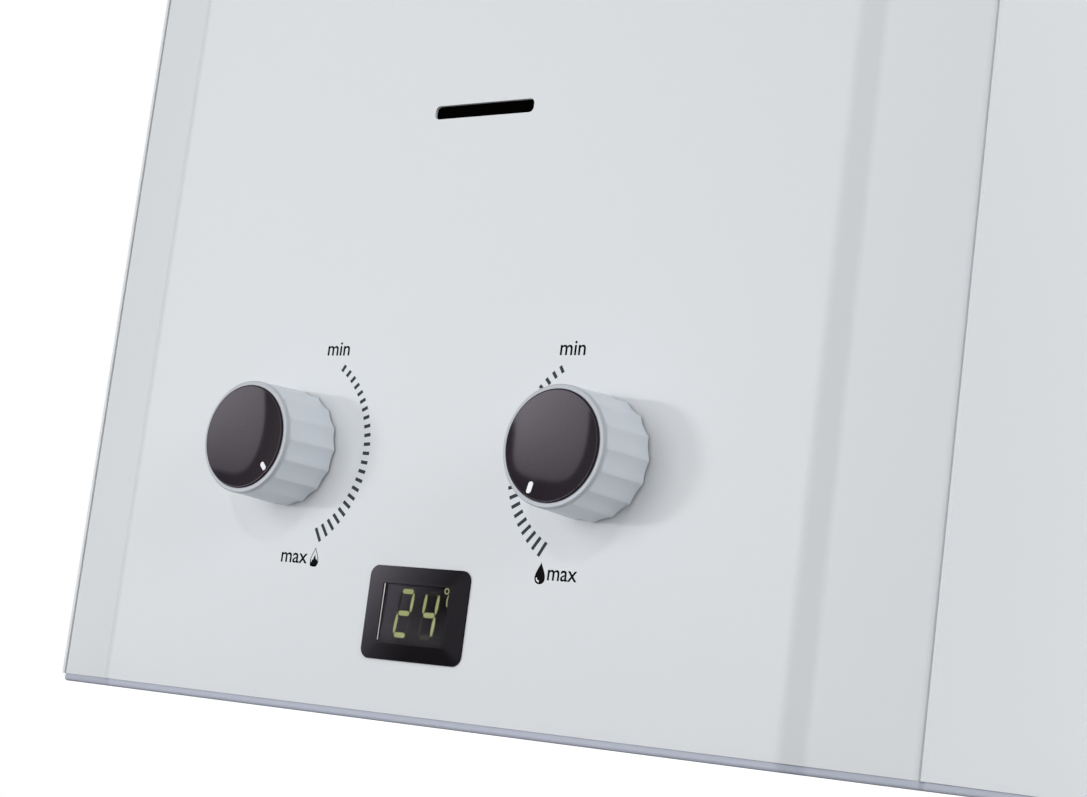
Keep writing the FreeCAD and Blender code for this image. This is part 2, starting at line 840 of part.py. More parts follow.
def flow_switch():
    """Small switch on the bridge that starts the ignition when water flows."""
    z0 = knob_level + bridge_radius
    left = switch_face_x() - saddle_length
    case = block(left, switch_face_x(), pipe_y - saddle_width / 2, pipe_y + saddle_width / 2, z0,
                 z0 + switch_height)
    depth = plunger_overlap + rod_travel + rod_clearance
    return case.cut(rod(switch_face_x() - depth, pipe_y, plunger_z(), X_AXIS,
                        plunger_radius + running_clearance, depth + 1))


def switch_plunger():
    """Plunger between the switch and the push rod's arm."""
    start = switch_face_x() - plunger_overlap
    end = -trip_size / 2 - plunger_gap
    return rod(start, pipe_y, plunger_z(), X_AXIS, plunger_radius, end - start)


# ---- service ports and pipes ----
def port(x, y, top):
    """Hexagonal union with a female thread's bore, flush with the base, and a tail up to what it feeds."""
    low = port_lift
    corners = []
    for i in range(6):
        turn = math.radians(60 * i)
        corners.append((x + port_body_radius * math.cos(turn), y + port_body_radius * math.sin(turn)))
    body = prism(corners, low, low + port_length)
    flange = rod(x, y, base_thickness, Z_AXIS, port_flange_radius, port_flange_thickness)
    tail = rod(x, y, low + port_length, Z_AXIS, port_tail_radius, top - low - port_length)
    whole = union([body, flange, tail])
    whole = whole.cut(rod(x, y, low - 1, Z_AXIS, port_bore_radius, port_bore_length + 1))
    return whole.cut(rod(x, y, low, Z_AXIS, port_tail_radius - pipe_wall, top - low + 1))


def cold_pipe():
    """Cold water from the water valve up to the heat exchanger."""
    rise_x = hot_port_x
    lift = valve_top + pipe_bend + pipe_wall
    points = [
        Vector(knob_x, first_tube_y, valve_top),
        Vector(knob_x, first_tube_y, lift),
        Vector(rise_x, first_tube_y, lift),
        Vector(rise_x, first_tube_y, tube_level),
        Vector(tube_end_x, first_tube_y, tube_level),
    ]
    return pipe(points, pipe_radius, tube_bend, pipe_wall)


def hot_pipe():
    """Hot water from the heat exchanger down to its port."""
    points = [
        Vector(tube_end_x, last_tube_y, tube_level),
        Vector(hot_port_x, last_tube_y, tube_level),
        Vector(hot_port_x, last_tube_y, hot_port_top()),
    ]
    return pipe(points, pipe_radius, tube_bend, pipe_wall)


def hot_port_top():
    """Height where the hot pipe meets its port's tail."""
    return port_lift + port_length + pipe_bend


def gas_feed_pipe():
    """Gas from the valve up to the burner manifold."""
    top = manifold_z() - manifold_radius + running_clearance
    length = top - valve_top
    outer = rod(-knob_x, manifold_y(), valve_top, Z_AXIS, feed_radius, length)
    return outer.cut(rod(-knob_x, manifold_y(), valve_top - 1, Z_AXIS, feed_radius - pipe_wall, length + 2))


def manifold_y():
    """Depth of the burner manifold."""
    return front_y + manifold_setback


def manifold_z():
    """Height of the burner manifold, level with the nozzle ports."""
    return burner_level + burner_air_gap


def burner_x(i):
    """Place of one burner bar across the tray."""
    return -chamber_width / 2 + burner_inset + burner_pitch * (i + 0.5)


def gas_manifold():
    """Tube across the burners with one nozzle for each bar and two lugs on the tray."""
    half = burner_x(burner_count - 1) + manifold_overhang
    y, z = manifold_y(), manifold_z()
    pieces = [rod(-half, y, z, X_AXIS, manifold_radius, 2 * half)]
    for i in range(burner_count):
        pieces.append(rod(burner_x(i), y, z, Y_AXIS, nozzle_radius, manifold_radius + nozzle_length))
    for x in (-half, half - nozzle_length):
        pieces.append(block(x, x + nozzle_length, y, chamber_front_y, z - nozzle_radius, z + nozzle_radius))
    whole = union(pieces)
    socket = rod(-knob_x, y, z - manifold_radius - 1, Z_AXIS, feed_radius + running_clearance,
                 1 + 2 * running_clearance)
    return whole.cut(socket)


def burner_tray():
    """Open tray that holds the burner bars, with a port for each nozzle."""
    half = chamber_width / 2
    t = chamber_sheet
    tray = block(-half, half, chamber_front_y, chamber_back_y, burner_level, chamber_bottom)
    tray = tray.cut(block(-half + t, half - t, chamber_front_y + t, chamber_back_y - t, burner_level + t,
                          chamber_bottom + 1))
    ports = [rod(burner_x(i), chamber_front_y - 1, manifold_z(), Y_AXIS, nozzle_port_radius, t + 2)
             for i in range(burner_count)]
    return tray.cut(ports)


def burner_bars():
    """Ribbon burner bars side by side on the tray's floor."""
    bars = []
    t = burner_thickness / 2
    y0 = chamber_front_y + burner_inset
    y1 = chamber_back_y - burner_inset
    z0 = burner_level + chamber_sheet
    top = z0 + burner_height
    for i in range(burner_count):
        x = burner_x(i)
        bar = block(x - t, x + t, y0, y1, z0, top)
        bar = bar.cut(block(x - t / 3, x + t / 3, y0 + t, y1 - t, top - burner_inset, top + 1))
        mouth = rod(x, y0 - 1, manifold_z(), Y_AXIS, t * 0.6, burner_inset + 1)
        bars.append(bar.cut(mouth))
    return Part.makeCompound(bars)


# ---- heat exchanger ----
def exchanger_shell():
    """Copper combustion chamber with a sight opening and two brackets to the back plate."""
    half = chamber_width / 2
    t = chamber_sheet
    shell = block(-half, half, chamber_front_y, chamber_back_y, chamber_bottom, chamber_top)
    shell = shell.cut(block(-half + t, half - t, chamber_front_y + t, chamber_back_y - t,
                            chamber_bottom - 1, chamber_top + 1))
    sight = rounded_slab(slot_width + 2 * sight_margin, slot_height + 2 * sight_margin, slot_radius,
                         chamber_front_y - 1, chamber_front_y + t + 1, 0, slot_level)
    holes = [sight]
    for x in (-electrode_offset, electrode_offset):
        holes.append(rod(x, chamber_front_y - 1, electrode_level(), Y_AXIS,
                         ceramic_radius + ceramic_clearance, t + 2))
    shell = shell.cut(holes)
    brackets = []
    for x in (-half + bracket_width, half - 2 * bracket_width):
        brackets.append(block(x, x + bracket_width, chamber_back_y, back_inner_y, bracket_level,
                              bracket_level + bracket_height))
    return union([shell] + brackets)


def electrode_level():
    """Height of the ignition electrode and the flame sensor."""
    return slot_level + electrode_rise


def exchanger_fins():
    """Stack of fins round the water tubes, between two end plates."""
    half = chamber_width / 2
    step = (2 * half - fin_thickness) / (fin_count - 1)
    fins = []
    for i in range(fin_count):
        x = -half + step * i
        fin = block(x, x + fin_thickness, chamber_front_y, chamber_back_y, chamber_top, fin_top)
        holes = [rod(x - 1, y, tube_level, X_AXIS, tube_radius + fin_clearance, fin_thickness + 2)
                 for y in tube_rows()]
        fins.append(fin.cut(holes))
    return Part.makeCompound(fins)


def tube_rows():
    """Depths of the straight tube passes."""
    return [first_tube_y + tube_pitch * i for i in range(tube_passes)]


def exchanger_tubes():
    """Water tube that passes through the fins and turns back at each end."""
    turn_x = chamber_width / 2 + tube_overhang
    points = [Vector(tube_end_x, tube_rows()[0], tube_level)]
    side = -1
    for near, far in zip(tube_rows(), tube_rows()[1:]):
        points.append(Vector(side * turn_x, near, tube_level))
        points.append(Vector(side * turn_x, far, tube_level))
        side = -side
    points.append(Vector(tube_end_x, tube_rows()[-1], tube_level))
    return pipe(points, tube_radius, tube_bend, pipe_wall)


def ceramic_rod(x):
    """Rod in a ceramic sleeve that stands over the burners from the shell's front wall."""
    z = electrode_level()
    start = chamber_front_y - ceramic_length
    sleeve = rod(x, start, z, Y_AXIS, ceramic_radius, ceramic_length + chamber_sheet)
    flange = rod(x, chamber_front_y - chamber_sheet * 2, z, Y_AXIS, ceramic_flange_radius, chamber_sheet * 2)
    wire = rod(x, start, z, Y_AXIS, electrode_radius, ceramic_length + electrode_reach)
    return union([sleeve, flange, wire])


def ignition_lead():
    """Insulated lead from the control box up to the ignition electrode."""
    y = front_y + lead_setback
    z = electrode_level()
    points = [
        Vector(-electrode_offset, y, control_top),
        Vector(-electrode_offset, y, z),
        Vector(-electrode_offset, chamber_front_y - ceramic_length, z),
    ]
    return pipe(points, lead_radius, lead_bend)


def overheat_switch():
    """Thermal cut-out on the front wall of the shell."""
    disc = rod(cutout_offset, chamber_front_y - cutout_thickness, cutout_level, Y_AXIS, cutout_radius,
               cutout_thickness)
    lug = block(cutout_offset - 1.5 * cutout_radius, cutout_offset + 1.5 * cutout_radius,
                chamber_front_y - chamber_sheet, chamber_front_y, cutout_level - cutout_radius / 2,
                cutout_level + cutout_radius / 2)
    return union([disc, lug])


def draft_hood():
    """Tapered hood from the fins to the flue opening in the lid."""
    return hood_solid(0.0).cut(hood_solid(hood_sheet))


def hood_solid(inset):
    """Frustum of the hood, taken in by a wall."""
    wires = []
    for width, depth, z in ((chamber_width, chamber_depth, fin_top), (flue_width, flue_depth, body_top)):
        x = width / 2 - inset
        y = depth / 2 - inset
        corners = [Vector(sx * x, chamber_y + sy * y, z) for sx, sy in ((-1, -1), (1, -1), (1, 1), (-1, 1))]
        wires.append(Part.makePolygon(corners + corners[:1]))
    return Part.makeLoft(wires, True, True)


# ---- rain cap and handle ----
def rain_cap():
    """Folded cap over the flue with a row of exhaust slots on each long side."""
    half = rain_width / 2
    deep = rain_depth / 2
    t = rain_sheet
    top = case_top + rain_height
    cap = block(-half, half, chamber_y - deep, chamber_y + deep, case_top, top)
    upper = [e for e in cap.Edges if e.BoundBox.ZMin > top - 0.01]
    cap = cap.makeFillet(2 * t, upper)
    cap = cap.cut(block(-half + t, half - t, chamber_y - deep + t, chamber_y + deep - t, case_top - 1,
                        top - t))
    pitch = rain_slot_width + rain_slot_gap
    count = int((rain_width - 2 * rain_slot_gap) // pitch)
    slots = []
    for i in range(count):
        x = pitch * (i - (count - 1) / 2)
        for level in (rain_slot_level, rain_slot_level + 1.6 * rain_slot_height):
            z = case_top + level
            slots.append(block(x - rain_slot_width / 2, x + rain_slot_width / 2, chamber_y - deep - 1,
                               chamber_y + deep + 1, z, z + rain_slot_height))
    return cap.cut(slots)


def handle_bail():
    """Bent rod that lies flat behind the rain cap, with its pins turned out through the ears."""
    tip = ear_x + ear_thickness + ear_gap
    points = [
        Vector(bail_x, pivot_y, pivot_z),
        Vector(bail_x, grip_y, pivot_z),
        Vector(-bail_x, grip_y, pivot_z),
        Vector(-bail_x, pivot_y, pivot_z),
    ]
    pieces = [pipe_core(points, bail_radius, bail_bend)]
    for side in (-1, 1):
        pieces.append(Part.makeSphere(bail_radius, Vector(side * bail_x, pivot_y, pivot_z)))
        start = side * bail_x
        pieces.append(rod(start, pivot_y, pivot_z, X_AXIS * side, pivot_radius, tip - bail_x))
    return union(pieces)


def handle_grip():
    """Sleeve on the middle of the bail."""
    sleeve = rod(-grip_length / 2, grip_y, pivot_z, X_AXIS, grip_radius, grip_length)
    ends = [e for e in sleeve.Edges if e.Closed and abs(abs(e.CenterOfMass.x) - grip_length / 2) < 0.01]
    sleeve = sleeve.makeFillet(grip_edge_radius, ends)
    return sleeve.cut(rod(-grip_length / 2 - 1, grip_y, pivot_z, X_AXIS, bail_radius + running_clearance,
                          grip_length + 2))


def handle_ears():
    """Two bent ears that carry the bail's pins."""
    y0, y1 = pivot_y - ear_width / 2, pivot_y + ear_width / 2
    wall = block(ear_x, ear_x + ear_thickness, y0, y1, case_top, pivot_z + ear_width / 2)
    crown = [e for e in wall.Edges if abs(e.tangentAt(e.FirstParameter).x) > 0.9]
    crown = [e for e in crown if e.CenterOfMass.z > pivot_z]
    wall = wall.makeFillet(ear_width / 2 - 0.1, crown)
    foot = block(ear_x, ear_x + ear_thickness + ear_foot, y0, y1, case_top, case_top + ear_foot_thickness)
    ear = union([wall, foot])
    ear = ear.cut(rod(ear_x - 1, pivot_y, pivot_z, X_AXIS, pivot_radius + running_clearance,
                      ear_thickness + 2))
    screw_x = ear_x + ear_thickness + ear_foot / 2
    ear = ear.cut(rod(screw_x, pivot_y, case_top - 1, Z_AXIS, screw_shank_radius, ear_foot_thickness + 2))
    return Part.makeCompound([ear, mirrored(ear)])


# ---- display and control box ----
def display_neck(grow, y0, y1):
    """Part of the display frame that passes through the cover."""
    inset = display_neck_inset
    return rounded_slab(display_width - 2 * inset + 2 * grow, display_height - 2 * inset + 2 * grow,
                        display_corner - inset / 2 + grow, y0, y1, 0, display_level)


def display_frame():
    """Dark frame whose borders rise to a lip round the window, with a neck through the cover."""
    step_y = front_y - display_step
    face_y = front_y - display_proud
    foot = rounded_slab(display_width, display_height, display_corner, step_y, front_y, 0, display_level)
    wide, high = opening_size()
    lip = rounded_slab(wide + 2 * display_lip, high + 2 * display_lip, display_opening_radius + display_lip,
                       face_y, step_y, 0, display_level)
    slopes = Part.makeLoft([front_wire(foot), front_wire(lip)], True, True)
    neck = display_neck(0.0, front_y, front_y + cover_sheet + display_neck_depth)
    frame = union([foot, slopes, neck])
    frame = frame.cut(rounded_slab(wide, high, display_opening_radius, face_y - 1, front_y + 20, 0,
                                   display_level))
    return frame.cut(rounded_slab(wide + 2 * window_ledge, high + 2 * window_ledge, slot_radius,
                                  window_seat_y(), front_y + 20, 0, display_level))


def front_wire(slab):
    """Outline of a slab's front face."""
    return min(slab.Faces, key=lambda face: face.CenterOfMass.y).OuterWire


def opening_size():
    """Width and height of the display frame's opening."""
    return display_width - 2 * display_side_border, display_height - 2 * display_top_border


def window_seat_y():
    """Depth of the window's front face."""
    return front_y - display_proud + window_recess


def display_window():
    """Clear window behind the frame's lip."""
    grow = 2 * window_ledge - 2 * running_clearance
    wide, high = opening_size()
    y0 = window_seat_y()
    return rounded_slab(wide + grow, high + grow, slot_radius, y0, y0 + window_thickness, 0, display_level)


def display_board():
    """Segment display on its circuit board, between the window and the control box."""
    wide, high = opening_size()
    back = front_y + cover_sheet + display_neck_depth
    glass = block(-wide / 2, wide / 2, window_seat_y() + window_thickness + running_clearance, back,
                  display_level - high / 2, display_level + high / 2)
    board = block(-display_width / 2, display_width / 2, back, back + board_thickness,
                  display_level - display_height / 2, display_level + display_height / 2)
    return union([glass, board])


def control_box():
    """Closed plastic box of the ignition and temperature electronics, standing on the base."""
    half = control_width / 2
    y0 = control_front_y
    box = block(-half, half, y0, y0 + control_depth, body_bottom, control_top)
    box = box.cut(block(-half, half, y0 - 1, flange_rear_y(), body_bottom - 1, body_bottom + cover_sheet))
    w = control_wall
    return box.cut(block(-half + w, half - w, y0 + w, y0 + control_depth - w, body_bottom + 2 * w,
                         control_top - w))


def flange_rear_y():
    """Rear edge of the cover's bottom flange, with a clearance."""
    return front_y + strip_setback + return_flange + running_clearance * 4


# ---- battery drawer ----
def drawer_bounds():
    """Outer y and z limits of the drawer's tray."""
    middle = front_y + housing_setback
    half = 2 * cell_radius + 1.5 * cell_gap + drawer_wall
    z0 = body_bottom + housing_lift + housing_wall + drawer_clearance
    z1 = z0 + drawer_wall + 2 * cell_radius + cell_gap
    return middle - half, middle + half, z0, z1


def drawer_length():
    """Length of the tray behind its front plate."""
    return cell_length + cell_nub_length + 2 * contact_reach + drawer_wall


def battery_drawer():
    """Tray for two cells with a front plate that stands a little proud of the left side."""
    y0, y1, z0, z1 = drawer_bounds()
    w = drawer_wall
    outer = -half_width - drawer_front_proud
    inner = outer + drawer_front_thickness
    end = inner + drawer_length()
    tray = block(inner, end, y0, y1, z0, z1)
    tray = tray.cut(block(inner, end - w, y0 + w, y1 - w, z0 + w, z1 + 1))
    contact_gap = block(end - w - 1, end + 1, y0 + 2 * w, y1 - 2 * w, z0 + 2 * w, z1 + 1)
    plate = block(outer, inner, y0, y1, z0, z1)
    edges = [e for e in plate.Edges if e.BoundBox.XMax < outer + 0.01]
    plate = plate.makeFillet(drawer_front_proud / 2, edges)
    grip = rod(outer - drawer_grip_radius + drawer_front_thickness / 2, (y0 + y1) / 2 - drawer_grip_radius,
               z1 - drawer_grip_depth, Y_AXIS, drawer_grip_radius, 2 * drawer_grip_radius)
    return union([tray.cut(contact_gap), plate.cut(grip)])


def battery_cells():
    """Two round cells side by side in the drawer."""
    y0, y1, z0, z1 = drawer_bounds()
    x0 = -half_width - drawer_front_proud + drawer_front_thickness + contact_reach / 4
    z = z0 + drawer_wall + cell_radius + cell_gap / 2
    middle = (y0 + y1) / 2
    cells = []
    for side in (-1, 1):
        y = middle + side * (cell_radius + cell_gap / 2)
        can = rod(x0, y, z, X_AXIS, cell_radius, cell_length)
        nub = rod(x0 + cell_length, y, z, X_AXIS, cell_nub_radius, cell_nub_length)
        cells.append(union([can, nub]))
    return Part.makeCompound(cells)


def housing_inner():
    """Inner x, y and z limits of the battery housing."""
    y0, y1, z0, z1 = drawer_bounds()
    c = drawer_clearance
    end = -half_width - drawer_front_proud + drawer_front_thickness + drawer_length() + c
    return -side_inner_x, end, y0 - c, y1 + c, z0 - c, z1 + c


def battery_housing():
    """Sleeve that the drawer slides in, on two feet on the base plate."""
    x0, x1, y0, y1, z0, z1 = housing_inner()
    w = housing_wall
    sleeve = block(x0, x1 + w, y0 - w, y1 + w, z0 - w, z1 + w)
    sleeve = sleeve.cut(block(x0 - 1, x1, y0, y1, z0, z1))
    feet = [block(x1 - 4 * w, x1 + w, y0 - w, y1 + w, body_bottom, z0 - w),
            block(x0 + w, x0 + 6 * w, y0 - w, y1 + w, body_bottom, z0 - w)]
    return union([sleeve] + feet)


def battery_contacts():
    """Two spring contacts on the housing's end wall."""
    x0, x1, y0, y1, z0, z1 = housing_inner()
    middle = (y0 + y1) / 2
    z = (z0 + z1) / 2
    contacts = []
    for side in (-1, 1):
        y = middle + side * (cell_radius + cell_gap / 2)
        plate = block(x1 - contact_thickness, x1, y - cell_nub_radius, y + cell_nub_radius,
                      z - cell_nub_radius, z + cell_nub_radius)
        nub = rod(x1 - contact_reach / 2, y, z, X_AXIS, cell_nub_radius / 2, contact_reach / 2)
        contacts.append(union([plate, nub]))
    return Part.makeCompound(contacts)


def main():
    """Builds and writes every sub-part."""
    os.makedirs("parts", exist_ok=True)
    save("front_cover", front_cover())
    save("right_side_panel", side_panel())
    save("left_side_panel", left_side_panel())
    save("back_plate", back_plate())
    save("top_plate", top_plate())
    save("base_plate", base_plate())
    save("back_screws", back_screws())
    save("top_screws", top_screws())
    save("flame_window", flame_window())
    save("window_frame", window_frame())
    knobs = (("gas", -knob_x, gas_mark_angle, gas_mark_tilt),
             ("water", knob_x, water_mark_angle, water_mark_tilt))
    for side, x, angle, tilt in knobs:
        save(side + "_knob_body", knob_body(x))
        save(side + "_knob_cap", knob_cap(x, angle, tilt))
        save(side + "_knob_mark", knob_mark(x, angle, tilt))
        save(side + "_spindle", spindle(x))
        save(side + "_knob_clip", knob_clip(x))
    save("spindle_bushes", spindle_bushes())
    save("gas_valve_body", gas_valve_body())
    save("gas_solenoid", gas_solenoid())
    save("water_valve_body", water_valve_body())
    save("drain_screw", drain_screw())
    save("diaphragm_cover", diaphragm_cover())
    save("valve_bridge", valve_bridge())
    save("push_rod", push_rod())
    save("flow_switch", flow_switch())
    save("switch_plunger", switch_plunger())
    tops = (valve_bottom, valve_bottom, hot_port_top())
    ports = ("gas_inlet_port", "cold_inlet_port", "hot_outlet_port")
    for node, (x, y), top in zip(ports, port_places(), tops):
        save(node, port(x, y, top))
    save("cold_pipe", cold_pipe())
    save("hot_pipe", hot_pipe())
    save("gas_feed_pipe", gas_feed_pipe())
    save("gas_manifold", gas_manifold())
    save("burner_tray", burner_tray())
    save("burner_bars", burner_bars())
    save("exchanger_shell", exchanger_shell())
    save("exchanger_fins", exchanger_fins())
    save("exchanger_tubes", exchanger_tubes())
    save("ignition_electrode", ceramic_rod(-electrode_offset))
    save("flame_sensor", ceramic_rod(electrode_offset))
    save("ignition_lead", ignition_lead())
    save("overheat_switch", overheat_switch())
    save("draft_hood", draft_hood())
    save("rain_cap", rain_cap())
    save("handle_bail", handle_bail())
    save("handle_grip", handle_grip())
    save("handle_ears", handle_ears())
    save("display_frame", display_frame())
    save("display_window", display_window())
    save("display_board", display_board())
    save("control_box", control_box())
    save("battery_drawer", battery_drawer())
    save("battery_cells", battery_cells())
    save("battery_housing", battery_housing())
    save("battery_contacts", battery_contacts())


main()
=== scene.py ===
"""Finishes, printed scales, display, handle grip and stage of a portable flow-through gas water heater."""
import math

import bmesh
import bpy
from bpy.props import FloatProperty, FloatVectorProperty, IntProperty, PointerProperty
from mathutils import Matrix, Vector


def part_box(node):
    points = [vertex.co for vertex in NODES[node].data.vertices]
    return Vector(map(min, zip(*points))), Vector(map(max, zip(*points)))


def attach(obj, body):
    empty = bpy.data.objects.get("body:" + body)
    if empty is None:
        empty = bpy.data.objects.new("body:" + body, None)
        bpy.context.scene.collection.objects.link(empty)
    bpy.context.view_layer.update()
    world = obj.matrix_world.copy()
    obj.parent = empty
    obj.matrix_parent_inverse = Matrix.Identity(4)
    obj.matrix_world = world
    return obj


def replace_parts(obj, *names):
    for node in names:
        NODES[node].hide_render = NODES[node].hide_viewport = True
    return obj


bl_info = {
    "name": "Gas water heater",
    "version": (1, 0, 0),
    "blender": (4, 5, 0),
    "location": "View3D > Sidebar > Heater",
    "description": "Dresses the heater's solids with finishes, printed scales, a lit display and a stage",
    "category": "Object",
}

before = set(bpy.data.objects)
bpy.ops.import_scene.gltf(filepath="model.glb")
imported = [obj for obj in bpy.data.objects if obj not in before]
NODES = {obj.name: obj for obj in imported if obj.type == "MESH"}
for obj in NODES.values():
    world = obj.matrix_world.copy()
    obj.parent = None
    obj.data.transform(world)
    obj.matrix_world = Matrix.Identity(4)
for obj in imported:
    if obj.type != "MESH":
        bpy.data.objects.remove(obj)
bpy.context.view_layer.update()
FRONT_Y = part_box("front_cover")[0].y
MM = 0.001
WELD = 1e-7
FULL_TURN = 2.0 * math.pi


# ---- what a user may change ----
def colour(name, description, *value):
    """Colour setting."""
    return FloatVectorProperty(
        name=name, description=description, subtype="COLOR", size=3, min=0.0, max=1.0, default=value)


def length(name, description, millimetres):
    """Length setting."""
    return FloatProperty(name=name, description=description, default=millimetres * MM, unit="LENGTH")


def angle(name, description, degrees):
    """Angle setting."""
    return FloatProperty(name=name, description=description, default=math.radians(degrees), unit="ROTATION")


def number(name, description, value):
    """Setting without a unit."""
    return FloatProperty(name=name, description=description, default=value)


def count(name, description, value, least, most):
    """Whole number within limits."""
    return IntProperty(name=name, description=description, default=value, min=least, max=most)


class HeaterFinish(bpy.types.PropertyGroup):
    """Colours of the main finishes."""
    paint: colour("Case paint", "Stove enamel of the case", 0.700, 0.725, 0.745)
    # darker and bluer than the case: partly the base plate's own enamel, partly painted shade for the band along
    # the bottom
    base_paint: colour("Base paint", "Darker enamel of the base plate", 0.46, 0.49, 0.575)
    silver: colour("Knob silver", "Silver lacquer of the knob bodies", 0.70, 0.742, 0.792)
    charcoal: colour("Cap charcoal", "Moulding of the knob caps", 0.0125, 0.0080, 0.0130)
    ink: colour("Scale ink", "Slate ink of the dashes", 0.036, 0.047, 0.058)
    lettering: colour("Lettering ink", "Black ink of words and signs", 0.0035, 0.0035, 0.0040)
    segment: colour("Segment light", "Colour of the lit segments", 0.370, 0.400, 0.175)


class HeaterScale(bpy.types.PropertyGroup):
    """Printed dashes and words round the knobs."""
    dashes: count("Dashes", "Number of dashes on one scale", 23, 3, 60)
    radius: length("Radius", "Distance of the dashes from the knob's axis", 30.7)
    start: angle("First angle", "Angle of the dash at min, from level", 56.9)
    sweep: angle("Sweep", "Angle from the first dash to the last", 116.2)
    short: length("Short dash", "Length of a dash near min", 2.3)
    long: length("Long dash", "Length of the dash at max", 4.7)
    width: length("Dash width", "Width of a dash", 1.06)
    ink_height: length("Ink height", "Thickness of the print", 0.03)
    word_height: length("Word height", "Height of the small letters", 2.9)


class HeaterDisplay(bpy.types.PropertyGroup):
    """Segment display."""
    digit_height: length("Digit height", "Between the middles of the top and bottom segments", 13.0)
    digit_width: length("Digit width", "Between the middles of the upright segments", 4.75)
    digit_pitch: length("Digit pitch", "From one digit to the next", 9.7)
    slant: number("Slant", "Sideways lean for each unit of height", 0.094)
    upright_width: length("Upright width", "Width of an upright segment", 1.0)
    level_width: length("Level width", "Width of a level segment", 1.45)


class HeaterScrew(bpy.types.PropertyGroup):
    """Pan-head screws of the back plate, the lid and the handle's ears."""
    rows: count("Rows", "Screws up each side of the back", 4, 2, 12)
    head_radius: length("Head radius", "Radius of the head", 3.9)
    head_height: length("Head height", "Height of the head", 1.6)
    shank_radius: length("Shank radius", "Radius over the thread", 1.85)
    length: length("Length", "Length under the head", 6.0)
    turns: count("Turns", "Crests of the thread", 6, 2, 20)


class HeaterKnob(bpy.types.PropertyGroup):
    """Fluted bodies of the two knobs."""
    flutes: count("Flutes", "Flutes round a knob", 17, 5, 60)
    depth: length("Flute depth", "Depth of a flute", 0.65)
    ridge: length("Ridge width", "Width of a ridge", 0.9)
    rise: length("Ridge rise", "Rise of a ridge between its shoulders", 0.09)
    front_radius: length("Front radius", "Radius at the rim", 17.4)
    rim: length("Rim", "Length of the plain rim", 1.5)
    rounding: length("Rounding", "Radius of the rim's front edge", 0.6)
    run_in: length("Run-in", "Length over which a flute reaches its depth", 0.6)
    wall: length("Wall", "Thickness of the floor under the cap", 2.6)
    hub: length("Hub radius", "Radius of the hub", 6.0)
    bore: length("Bore radius", "Radius of the hub's bore", 3.2)


class HeaterGrip(bpy.types.PropertyGroup):
    """Ribbed rubber grip of the handle."""
    ribs: count("Ribs", "Number of ribs on the grip", 22, 4, 60)
    rib_depth: length("Rib depth", "Depth of the grooves between ribs", 0.7)


class HeaterView(bpy.types.PropertyGroup):
    """Camera and light."""
    lens: number("Lens", "Focal length on a 36 mm sensor, in mm", 76.308)
    place: FloatVectorProperty(
        name="Place", description="Where the camera stands", subtype="TRANSLATION", unit="LENGTH",
        size=3, default=(0.443624, -0.592602, 0.0008))
    heading: angle("Heading", "Turn to the left of straight ahead", 38.2018)
    pitch: angle("Pitch", "Tilt upwards", 8.3445)
    roll: angle("Roll", "Lean of the camera", 7.3321)
    ambient: number("Ambient", "Light from all round", 0.37)
    key: number("Key", "Small light from the left, in watts", 45.0)
    front: number("Front", "Near soft light in front, in watts", 2.27)
    fill: number("Fill", "Light from the upper right, in watts", 2.6)
    flank: number("Flank", "Light on the right side from behind, in watts", 12.2)
    edge: number("Edge", "Grazing light from the upper right, in watts", 6.4)
    back: number("Back", "Soft light from behind on the left, in watts", 24.0)
    sheen: number("Sheen", "Softbox seen only in gloss, in watts", 25.0)


# ---- node trees ----
class Wiring:
    """Nodes of one tree, made and joined in one go."""

    def __init__(self, tree):
        self.tree, self.nodes = tree, tree.nodes

    @classmethod
    def group(cls, name, kind, inputs, outputs):
        """New node group. A socket is given as its name, its kind and, where it needs one, its default."""
        wires = cls(bpy.data.node_groups.new(name, kind))
        for in_out, sockets in (("INPUT", inputs), ("OUTPUT", outputs)):
            for label, socket_kind, *default in sockets:
                socket = wires.tree.interface.new_socket(
                    label, in_out=in_out, socket_type="NodeSocket" + socket_kind)
                if default:
                    socket.default_value = default[0]
        wires.ask = wires.add("NodeGroupInput").outputs
        wires.tail = wires.add("NodeGroupOutput")
        return wires

    def fill(self, node, inputs):
        """Feeds a node's inputs, by name or number, with sockets or plain values."""
        for label, value in inputs.items():
            if isinstance(value, bpy.types.NodeSocket):
                self.tree.links.new(value, node.inputs[label])
            else:
                node.inputs[label].default_value = value

    def add(self, kind, inputs=None, **settings):
        """New node with its settings and its inputs."""
        node = self.nodes.new(kind)
        for label, value in settings.items():
            setattr(node, label, value)
        self.fill(node, inputs or {})
        return node

    def math(self, operation, *values, clamp=False):
        """Result of a math node."""
        return self.add("ShaderNodeMath", dict(enumerate(values)), operation=operation, use_clamp=clamp).outputs[0]

    def close(self, **outputs):
        """Feeds the group's outputs and gives the group back."""
        self.fill(self.tail, outputs)
        return self.tree


PATTERN = [("Height", "Float"), ("Tone", "Float")]


def build_grain_group():
    """Even grain: small bumps of one size, and a slow drift of tone."""
    wires = Wiring.group("even_grain", "ShaderNodeTree", [
        ("Vector", "Vector"), ("Grain Size", "Float", 0.0005), ("Drift Size", "Float", 0.06),
        ("Detail", "Float", 2.0)], PATTERN)
    noises = [wires.add("ShaderNodeTexNoise", {
        "Vector": wires.ask["Vector"], "Scale": wires.math("DIVIDE", 1.0, wires.ask[size]), "Detail": detail})
        for size, detail in (("Grain Size", wires.ask["Detail"]), ("Drift Size", 3.0))]
    return wires.close(Height=noises[0].outputs["Fac"], Tone=noises[1].outputs["Fac"])


